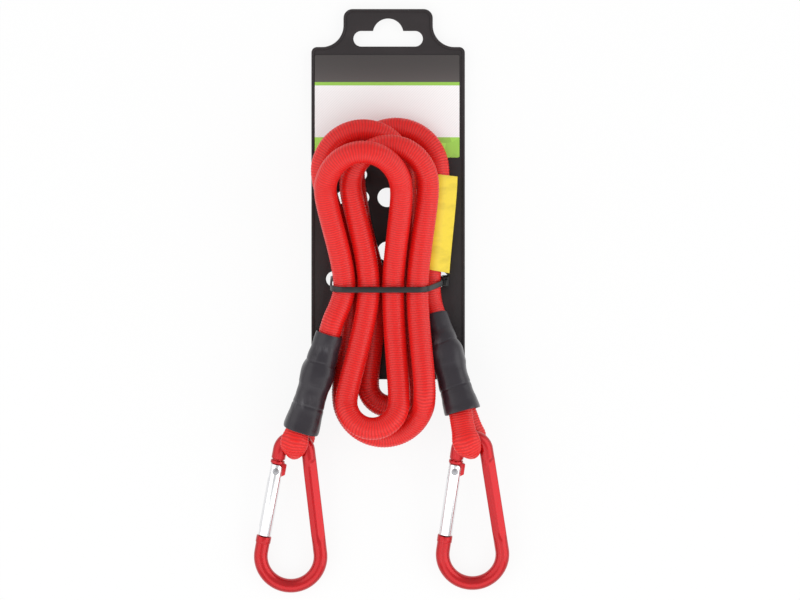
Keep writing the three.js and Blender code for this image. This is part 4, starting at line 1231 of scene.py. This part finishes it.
class FrameLine:
    """The rod's middle line from the collar over both bows to the nose, with its radius."""

    def __init__(self, carabiner, gate):
        self.sizes = carabiner
        self.tilt = side_tilt(carabiner)
        self.side_length = carabiner.spacing * math.cos(self.tilt)
        self.rows = []
        collar_at = gate.from_bow - gate.above - gate.air
        nose_at = gate.from_bow + gate.below + gate.air
        self.add_collar(collar_at)
        self.add_bow(0.0, carabiner.small_bow, math.pi - self.tilt, self.tilt, SMALL_BOW_RINGS)
        for distance in np.linspace(0, self.side_length, SPINE_RINGS)[1:-1]:
            self.add_side(1, distance, carabiner.rod)
        end = -math.pi - self.tilt
        self.add_bow(carabiner.spacing, carabiner.big_bow, self.tilt, end, BIG_BOW_RINGS)
        self.add_nose(nose_at)

    def add_side(self, side, distance, radius):
        """A ring on the spine's side (1) or, going up, on the gate's side (-1)."""
        bow = self.sizes.small_bow
        away = (side * math.sin(self.tilt), -math.cos(self.tilt))
        x = side * bow * math.cos(self.tilt) + away[0] * distance
        y = bow * math.sin(self.tilt) + away[1] * distance
        down = distance if side > 0 else -1.0
        self.rows.append((x, y, side * away[0], side * away[1], radius, down))

    def add_bow(self, drop, bow, start, end, steps):
        """Rings round a bow, from one angle to another."""
        for angle in np.linspace(start, end, steps + 1):
            x = bow * math.cos(angle)
            y = bow * math.sin(angle) - drop
            self.rows.append((x, y, math.sin(angle), -math.cos(angle), self.sizes.rod, -1.0))

    def add_collar(self, collar_at):
        """The collar above the gate and the groove above the collar."""
        sizes = self.sizes
        for distance, radius in rounded_step(sizes.collar, sizes.collar_length, sizes.edge):
            self.add_side(-1, collar_at - distance, radius)
        foot = collar_at - sizes.collar_length
        head = foot - sizes.groove_length
        for distance, radius in (
            (foot - 0.01 * MM, sizes.groove),
            (head + 0.2 * MM, sizes.groove),
            (head, sizes.rod - sizes.edge),
            (head - 0.4 * sizes.edge, sizes.rod - 0.2 * sizes.edge),
            (head - sizes.edge, sizes.rod),
        ):
            self.add_side(-1, distance, radius)

    def add_nose(self, nose_at):
        """The nose's head, from the rod up to its face."""
        sizes = self.sizes
        low = nose_at + sizes.nose_length + sizes.nose_taper
        self.add_side(-1, low, sizes.rod)
        steps = rounded_step(sizes.nose, sizes.nose_length, sizes.edge)
        for distance, radius in steps[::-1]:
            self.add_side(-1, nose_at + distance, radius)

    def rings(self, sides):
        """Rings of points round the rod; the spine is flattened to a ridge and facets."""
        table = np.array(self.rows)
        flat = np.zeros(len(table))
        at = np.column_stack([table[:, :2], flat])
        along = np.column_stack([table[:, 2:4], flat])
        up = upright(at)
        angle = round_about(sides)
        radius = np.repeat(table[:, 4:5], sides, axis=1)
        sizes = self.sizes
        down = table[:, 5:6]
        inward = 0.5 - 0.5 * np.cos(angle)
        start = np.clip((down - sizes.facet_from) / (sizes.facet_run * (1 + FACET_STRETCH * inward)), 0, 1)
        stop = np.clip((sizes.facet_to - down) / (sizes.facet_run * FACET_STRETCH), 0, 1)
        flatness = np.minimum(start, stop)
        flatness = flatness * flatness * (3 - 2 * flatness)
        radius = radius + (self.facets(angle) - radius) * flatness
        section = np.stack([radius * np.cos(angle), radius * np.sin(angle)], axis=-1)
        return rings_across(at, along, up, section)

    def facets(self, angle):
        """The flattened spine's outline as a radius, with slightly rounded corners."""
        sizes = self.sizes
        corners = [
            (sizes.rod, sizes.facet_outer),
            (sizes.ridge, sizes.rod),
            (-sizes.rod, sizes.facet_inner),
            (-sizes.rod, -sizes.facet_inner),
            (sizes.ridge, -sizes.rod),
            (sizes.rod, -sizes.facet_outer),
        ]
        total = np.zeros_like(angle)
        for (x0, y0), (x1, y1) in zip(corners, corners[1:] + corners[:1]):
            normal = math.atan2(x0 - x1, y1 - y0)
            distance = x0 * math.cos(normal) + y0 * math.sin(normal)
            total += (np.maximum(np.cos(angle - normal), 0) / distance) ** FACET_POWER
        ridge_at = math.atan2(sizes.rod, sizes.ridge)
        furrow = np.exp(-(((angle - ridge_at) / FURROW_ANGLE) ** 2))
        return total ** (-1 / FACET_POWER) - sizes.furrow * furrow


def rounded_step(radius, run, edge, steps=5):
    """Places and radii of a short round collar with rounded edges, from its face on."""
    bend = np.linspace(0, QUARTER, steps + 1)
    near = [(edge * (1 - math.sin(a)), radius - edge * (1 - math.cos(a))) for a in bend[::-1]]
    far = [(run - distance, r) for distance, r in near[::-1]]
    return near + far


def hinge_tongue(carabiner, gate):
    """The tongue under the collar that carries the gate's pin, with the prong on its inner side."""
    top = gate.above + gate.air + carabiner.collar_length / 2
    outline = [
        (gate.tongue_inner, gate.above + gate.air),
        (carabiner.collar - TONGUE_ROOT, top),
        (-gate.tongue_outer, top),
        (-gate.tongue_outer, -gate.tongue_hook),
        (-gate.tongue_tip, -gate.tongue_below),
        (gate.tongue_tip, -gate.tongue_below),
        (gate.tongue_inner, -gate.tongue_hook),
    ]
    half = gate.tongue / 2
    tongue = softened(prism("hinge_tongue", outline, -half, half), TONGUE_EDGE)
    loose = gate.pin + gate.air
    hole = lathe("pin_hole", [(loose, -2 * half), (loose, 2 * half)], 32, "Z")
    return carved(tongue, [hole])


def nose_tongue(carabiner, gate):
    """The tongue on the nose that goes into the gate's lower slot."""
    foot = -gate.below - gate.air - carabiner.nose_length / 2
    tip = -gate.below - gate.air + gate.nose_tongue
    half = gate.tongue / 2
    mesh = block("nose_tongue", (-gate.nose_outer, gate.nose_inner), (foot, tip), (-half, half))
    return softened(mesh, TONGUE_EDGE)


class BUNGEE_OT_frames(Maker, Operator):
    """Bends the carabiners' frames"""

    bl_idname = "bungee.frames"
    bl_label = "Bend the frames"

    def make(self, context, settings):
        carabiner, gate = settings.carabiner, settings.gate
        for side in SIDES:
            rod = skin("rod", FrameLine(carabiner, gate).rings(ROD_SIDES))
            rod.transform(carabiner_place(side))
            tongues = [hinge_tongue(carabiner, gate), nose_tongue(carabiner, gate)]
            for tongue in tongues:
                tongue.transform(gate_place(side, carabiner))
            mesh = carved(rod, tongues, "UNION")
            name = f"{side}_bent_frame"
            piece(context, name, mesh, "red_anodised", f"{side}_carabiner", f"{side}_frame")


def gate_mesh(gate):
    """The gate's bar with its fork, its bore, its lower slot and the relief of its upper corner."""
    steps = rounded_step(gate.radius, gate.above + gate.below, GATE_EDGE)
    bar = lathe("gate_bar", [(radius, place - gate.below) for place, radius in steps], gate.sides)
    half = gate.tongue / 2 + gate.air
    reach = gate.radius + CUT_PAST
    top = gate.above + CUT_PAST
    slot_x = (-reach, gate.nose_inner + gate.air)
    slot_y = (-reach - gate.below, -gate.below + gate.nose_tongue)
    loose = gate.pin + gate.air
    relief = np.vstack([
        arc(0, 0, gate.above, 0, QUARTER)[::-1],
        [(reach, 0), (reach, top), (0, top)],
    ])
    tools = [
        lathe("bore", [(gate.bore, -gate.bore_below), (gate.bore, top)], 48),
        block("fork", (-reach, reach), (-gate.fork_below, top), (-half, half)),
        block("lower_slot", slot_x, slot_y, (-half, half)),
        lathe("pin_hole", [(loose, -reach), (loose, reach)], 48, "Z"),
        prism("relief", relief, -reach, reach),
    ]
    return carved(bar, tools)


def pin_mesh(gate):
    """The hinge pin with a domed rivet head at each end."""
    shoulder = gate.radius + RIVET_AIR
    bend = np.linspace(0, QUARTER, 9)[:-1]
    dome = [(gate.pin_head * math.cos(a), shoulder + gate.pin_dome * math.sin(a)) for a in bend]
    upper = [(gate.pin, shoulder), *dome, (RIVET_TIP, shoulder + gate.pin_dome)]
    lower = [(radius, -place) for radius, place in upper[::-1]]
    return lathe("gate_pin", lower + upper, 48, "Z")


class BUNGEE_OT_gates(Maker, Operator):
    """Turns the gates and rivets their pins"""

    bl_idname = "bungee.gates"
    bl_label = "Turn the gates"

    def make(self, context, settings):
        for side in SIDES:
            place = gate_place(side, settings.carabiner)
            bar = gate_mesh(settings.gate)
            pin = pin_mesh(settings.gate)
            bar.transform(place)
            pin.transform(place)
            body = f"{side}_gate"
            piece(context, f"{side}_gate_bar", bar, "bright_aluminium", body, f"{side}_gate")
            piece(context, f"{side}_rivet", pin, "steel", body, f"{side}_gate_pin")


# Hang card


def card_outline(card, inset):
    """The card's outline, drawn in by an inset."""
    left, right = card.left + inset, card.right - inset
    bottom, shoulder, top = card.bottom + inset, card.shoulder - inset, card.top - inset
    middle = (card.left + card.right) / 2
    corner, tab_corner = card.corner - inset, card.tab_corner - inset
    fillet = card.tab_fillet + inset
    tab = card.tab_width / 2 - inset
    outline = np.vstack([
        arc(right - corner, bottom + corner, corner, -QUARTER, 0),
        arc(right - corner, shoulder - corner, corner, 0, QUARTER),
        arc(middle + tab + fillet, shoulder + fillet, fillet, -QUARTER, -2 * QUARTER),
        arc(middle + tab - tab_corner, top - tab_corner, tab_corner, 0, QUARTER),
        arc(middle - tab + tab_corner, top - tab_corner, tab_corner, QUARTER, 2 * QUARTER),
        arc(middle - tab - fillet, shoulder + fillet, fillet, 0, -QUARTER),
        arc(left + corner, shoulder - corner, corner, QUARTER, 2 * QUARTER),
        arc(left + corner, bottom + corner, corner, 2 * QUARTER, 3 * QUARTER),
    ])
    return outline + WAIST[:2]


def round_hole(x, y, diameter):
    """A round hole's outline."""
    return arc(x, y, diameter / 2, 0, 4 * QUARTER, 64)[:-1] + WAIST[:2]


def round_slot(x, y, width, height, over=()):
    """A slot with round ends; lines over it come between its upper corners."""
    radius = height / 2
    run = width / 2 - radius
    right = arc(x + run, y, radius, -QUARTER, QUARTER, 28)
    left = arc(x - run, y, radius, QUARTER, 3 * QUARTER, 28)
    return np.vstack([right, *over, left]) + WAIST[:2]


def hang_slot(card):
    """The slot that the card hangs by, with an arch over its middle."""
    middle = (card.left + card.right) / 2
    y = card.top - card.slot_below_top
    high = y + card.slot_height / 2
    half = card.arch_width / 2
    arch = (half**2 + card.arch_rise**2) / (2 * card.arch_rise)
    arch_y = high + card.arch_rise - arch
    spring = math.asin((high - arch_y) / arch)
    over = arc(middle, arch_y, arch, spring, math.pi - spring, 40)
    return round_slot(middle, y, card.slot_width, card.slot_height, [over])


def tie_span(settings):
    """From the middle to the middle of the tie's band beside the hank."""
    tie = settings.tie
    return Lanes(settings).x(True, 3) + settings.cord.diameter / 2 + tie.air + tie.thickness / 2


class BUNGEE_OT_card(Maker, Operator):
    """Moulds the hang card"""

    bl_idname = "bungee.card"
    bl_label = "Mould the card"

    def make(self, context, settings):
        card = settings.card
        holes = [hang_slot(card)]
        holes += [round_hole(0, y, card.sight_hole) for y in (card.sight_low, card.sight_high)]
        for side in (-1, 1):
            x = side * card.side_slot_x
            holes.append(round_slot(x, card.sight_high, card.side_slot_width, card.side_slot_height))
            holes.append(round_hole(side * card.small_x, card.small_y, card.small_hole))
            tie_x = side * (tie_span(settings) - card.tie_inset)
            holes.append(round_hole(tie_x, card.tie_y, card.tie_hole))
        outlines = [card_outline(card, card.rim / 2), *holes]
        web = plate("card_web", outlines, card.plate_back, card.plate_front, card.edge)
        edges = [card_outline(card, inset) for inset in (0, card.rim)]
        rim = plate("card_rim", edges, 0, card.depth, card.edge)
        mesh = carved(rim, [web], "UNION")
        piece(context, "moulded_card", mesh, "black_plastic", HANK, "hang_card")


class BUNGEE_OT_insert(Maker, Operator):
    """Lays the printed insert on the card"""

    bl_idname = "bungee.insert"
    bl_label = "Lay the insert"

    def make(self, context, settings):
        insert = settings.insert
        corner = insert.corner
        outline = np.vstack([
            arc(insert.right - corner, insert.bottom + corner, corner, -QUARTER, 0, 6),
            arc(insert.right - corner, insert.top - corner, corner, 0, QUARTER, 6),
            arc(insert.left + corner, insert.top - corner, corner, QUARTER, 2 * QUARTER, 6),
            arc(insert.left + corner, insert.bottom + corner, corner, 2 * QUARTER, 3 * QUARTER, 6),
        ])
        low = settings.card.plate_front + insert.seat
        high = low + insert.thickness
        mesh = plate("printed_board", [outline + WAIST[:2]], low, high, BOARD_EDGE)
        piece(context, "printed_board", mesh, "printed_card", HANK, "card_insert")


# Cable tie


def tight_outline(circles, offset):
    """The line drawn tight round circles (x, y, radius), listed counterclockwise."""
    legs = []
    for (x, y, r), (nx, ny, nr) in zip(circles, circles[1:] + circles[:1]):
        span = math.hypot(nx - x, ny - y)
        legs.append(math.atan2(ny - y, nx - x) - QUARTER - math.asin((nr - r) / span))
    parts = []
    for number, (x, y, r) in enumerate(circles):
        start = legs[number - 1]
        sweep = (legs[number] - start) % (2 * math.pi)
        parts.append(arc(x, y, r + offset, start, start + sweep, 24))
    return np.vstack(parts)


class BUNGEE_OT_tie(Maker, Operator):
    """Pulls the cable tie round the hank and through the card"""

    bl_idname = "bungee.tie"
    bl_label = "Pull the tie"

    def make(self, context, settings):
        tie, card = settings.tie, settings.card
        lanes = Lanes(settings)
        stretch = 1 / math.cos(tie.lean)
        hold = settings.cord.diameter / 2 + tie.air
        low = (card.plate_back - settings.ends.seat_air) * stretch + tie.corner
        half = tie_span(settings) - tie.thickness / 2
        circles = [
            (lanes.x(True, 3), lanes.back * stretch, hold),
            (lanes.x(False, 3), lanes.front * stretch, hold),
            (lanes.x(False, 0), lanes.front * stretch, hold),
            (-half + tie.corner, low, tie.corner),
            (half - tie.corner, low, tie.corner),
        ]
        line = tight_outline(circles, tie.thickness / 2)
        at = np.column_stack([line, np.zeros(len(line))])
        along = np.roll(at, -1, axis=0) - np.roll(at, 1, axis=0)
        up = upright(at)
        section = oval(BAND_SIDES, tie.thickness / 2, tie.width / 2, BAND_POWER)
        band = skin("tie_band", rings_across(at, along, up, section), closed=True)
        foot = (card.depth + settings.ends.seat_air) * stretch
        top = foot + tie.head_length
        side = tie.head_width / 2
        head = block("tie_head", (half, half + tie.head_depth), (foot, top), (-side, side))
        head = softened(head, TIE_HEAD_EDGE)
        end = half + tie.head_depth - TAIL_INSET
        across = (-tie.width / 2, tie.width / 2)
        tail = block("tie_tail", (end - tie.thickness, end), (top - TAIL_DEPTH, top + tie.tail), across)
        inner, outer, beside = TAIL_AIR
        mouth = block(
            "tie_mouth",
            (end - tie.thickness - inner, end + outer),
            (top - MOUTH_DEPTH, top + CUT_PAST),
            (across[0] - beside, across[1] + beside),
        )
        head = carved(head, [mouth])
        mesh = carved(band, [head, softened(tail, TIE_TAIL_EDGE)], "UNION")
        lean = Matrix.Rotation(QUARTER + tie.lean, 4, "X")
        lift = math.tan(tie.lean) * (card.plate_back + card.plate_front) / 2
        mesh.transform(Matrix.Translation((WAIST[0], WAIST[1] + card.tie_y + lift, 0)) @ lean)
        piece(context, "tie_strap", mesh, "tie_plastic", HANK, "cable_tie")


# Flag tag


def tag_section(hold, thickness, flag, sides=72):
    """The tag's outer and inner outline: round the cord, and drawn together into the flag."""
    outlines = []
    for radius, tip in ((hold + thickness, hold + flag + thickness), (hold, hold + flag - 2 * thickness)):
        touch = math.acos(radius / tip)
        round_part = arc(0, 0, radius, touch, 2 * math.pi - touch, sides - 13)
        way = np.linspace(0, 1, 7)[1:, None]
        lower, upper = np.array([tip, -FOLD_GAP]), np.array([tip, FOLD_GAP])
        back = round_part[-1] + (lower - round_part[-1]) * way
        out = upper + (round_part[0] - upper) * way[:-1]
        outlines.append(np.vstack([round_part, back, upper[None, :], out]))
    return outlines


class BUNGEE_OT_tag(Maker, Operator):
    """Folds the tag round the last strand"""

    bl_idname = "bungee.tag"
    bl_label = "Fold the tag"

    def make(self, context, settings):
        tag = settings.tag
        lines = {side: EndLine(side) for side in SIDES}
        points = hank_points(settings, lines)
        # The strand that comes down from the last bow to the waist, four points before the cord's end.
        start = (len(points) - 5) * LINE_STEPS
        leg = smooth_line(points)[start : start + LINE_STEPS + 1]
        height = leg[:, 1] - WAIST[1]
        levels = np.linspace(tag.top, tag.bottom, TAG_LEVELS)
        at = np.column_stack([np.interp(levels, height[::-1], leg[::-1, k]) for k in range(3)])
        along = np.gradient(at, axis=0)
        up = upright(at)
        hold = settings.cord.diameter / 2 + settings.ends.seat_air + LOOSE_FIT
        rings = []
        for outline in tag_section(hold, tag.thickness, tag.flag):
            reach = np.clip((outline[:, 0] - 0.5 * hold) / (0.5 * hold + tag.flag), 0, 1)
            wave = np.sin(np.linspace(*WAVE_TURNS, len(at)))[:, None] * tag.wave * reach**2
            section = np.broadcast_to(outline, (len(at), *outline.shape)).copy()
            section[..., 1] += wave
            slope = tag.shear * outline[:, :1] * unit(along)[:, None, :]
            rings.append(rings_across(at, along, up, section) + slope)
        mesh = skin("folded_tag", rings[0], rings[1], sharp=60)
        piece(context, "folded_tag", mesh, "yellow_vinyl", HANK, "flag_tag")


# Hidden fittings


class BUNGEE_OT_fittings(Maker, Operator):
    """Gives the hidden fittings their finish"""

    bl_idname = "bungee.fittings"
    bl_label = "Finish the fittings"

    def make(self, context, settings):
        for side in SIDES:
            for fitting in ("clamp", "plunger", "spring"):
                solid = frame["nodes"][f"{side}_{fitting}"]
                solid.data.materials.clear()
                solid.data.materials.append(finish_for("steel", settings))


# Stage


def softbox(name, size, place, turned, power):
    """A lamp with an even rectangular face."""
    lamp = bpy.data.lights.new(name, "AREA")
    lamp.shape = "RECTANGLE"
    lamp.size, lamp.size_y = size
    lamp.energy = power
    box = link(name, lamp)
    box.location = place
    box.rotation_euler = turned


class BUNGEE_OT_camera(Maker, Operator):
    """Looks straight down on the card"""

    bl_idname = "bungee.camera"
    bl_label = "Set the camera"

    def make(self, context, settings):
        stage = settings.stage
        data = bpy.data.cameras.new("camera")
        data.sensor_width = 36
        reach = stage.camera_height - stage.focus_height
        data.lens = data.sensor_width * reach / stage.view_width
        data.clip_end = 100
        camera = link("camera", data)
        camera.location = (stage.view_x, 0, stage.camera_height)
        context.scene.camera = camera
        context.scene.view_settings.view_transform = "Standard"


class BUNGEE_OT_stage(Maker, Operator):
    """Lays the floor and sets up a softbox to each side and one in front"""

    bl_idname = "bungee.stage"
    bl_label = "Set the stage"

    def make(self, context, settings):
        stage = settings.stage
        ways = ((-1, -1), (1, -1), (1, 1), (-1, 1))
        corners = [(x * FLOOR_REACH, y * FLOOR_REACH, -FLOOR_DROP) for x, y in ways]
        mesh = mesh_of("floor", corners, [(0, 1, 2, 3)])
        mesh.materials.append(floor_finish(settings.colours, stage.floor_glow))
        link("floor", mesh)
        size = (stage.box_width, stage.box_length)
        for name, side in (("left_softbox", -1), ("right_softbox", 1)):
            away = side * stage.box_side + stage.box_shift
            turned = (0, math.atan2(away, stage.box_height), 0)
            power = stage.box_power * (1 + side * stage.box_lead)
            softbox(name, size, (away, 0, stage.box_height), turned, power)
        place = (stage.box_shift, -stage.front_distance, stage.front_height)
        turned = (math.atan2(stage.front_distance, stage.front_height), 0, 0)
        softbox("front_softbox", size[::-1], place, turned, stage.box_power * stage.front_share)
        world = bpy.data.worlds.new("surroundings")
        world.use_nodes = True
        background = world.node_tree.nodes["Background"]
        background.inputs["Color"].default_value = (1.0, 1.0, 1.0, 1.0)
        background.inputs["Strength"].default_value = stage.sky
        context.scene.world = world


class BUNGEE_PT_panel(Panel):
    """Lists the steps in the order they are taken, and then all sizes"""

    bl_idname = "BUNGEE_PT_panel"
    bl_label = "Bungee cord"
    bl_space_type = "VIEW_3D"
    bl_region_type = "UI"
    bl_category = "Bungee cord"

    def draw(self, context):
        for operator in OPERATORS:
            self.layout.operator(operator.bl_idname)
        for group in BungeeSettings.__annotations__:
            sizes = getattr(context.scene.bungee_cord, group)
            box = self.layout.box()
            box.label(text=group)
            for size in type(sizes).__annotations__:
                box.prop(sizes, size)


GROUPS = (
    CordSizes,
    EndSizes,
    CarabinerSizes,
    GateSizes,
    CardSizes,
    InsertSizes,
    TieSizes,
    TagSizes,
    Colours,
    StageSettings,
    BungeeSettings,
)
OPERATORS = (
    BUNGEE_OT_camera,
    BUNGEE_OT_hank,
    BUNGEE_OT_eyes,
    BUNGEE_OT_sleeves,
    BUNGEE_OT_frames,
    BUNGEE_OT_gates,
    BUNGEE_OT_card,
    BUNGEE_OT_insert,
    BUNGEE_OT_tie,
    BUNGEE_OT_tag,
    BUNGEE_OT_fittings,
    BUNGEE_OT_stage,
)


def register():
    for kind in (*GROUPS, *OPERATORS, BUNGEE_PT_panel):
        bpy.utils.register_class(kind)
    bpy.types.Scene.bungee_cord = PointerProperty(type=BungeeSettings)


def unregister():
    del bpy.types.Scene.bungee_cord
    for kind in reversed((*GROUPS, *OPERATORS, BUNGEE_PT_panel)):
        bpy.utils.unregister_class(kind)


def main():
    """Makes every piece in order."""
    register()
    for operator in OPERATORS:
        getattr(bpy.ops.bungee, operator.bl_idname.split(".")[1])()


if __name__ == "__main__":
    main()
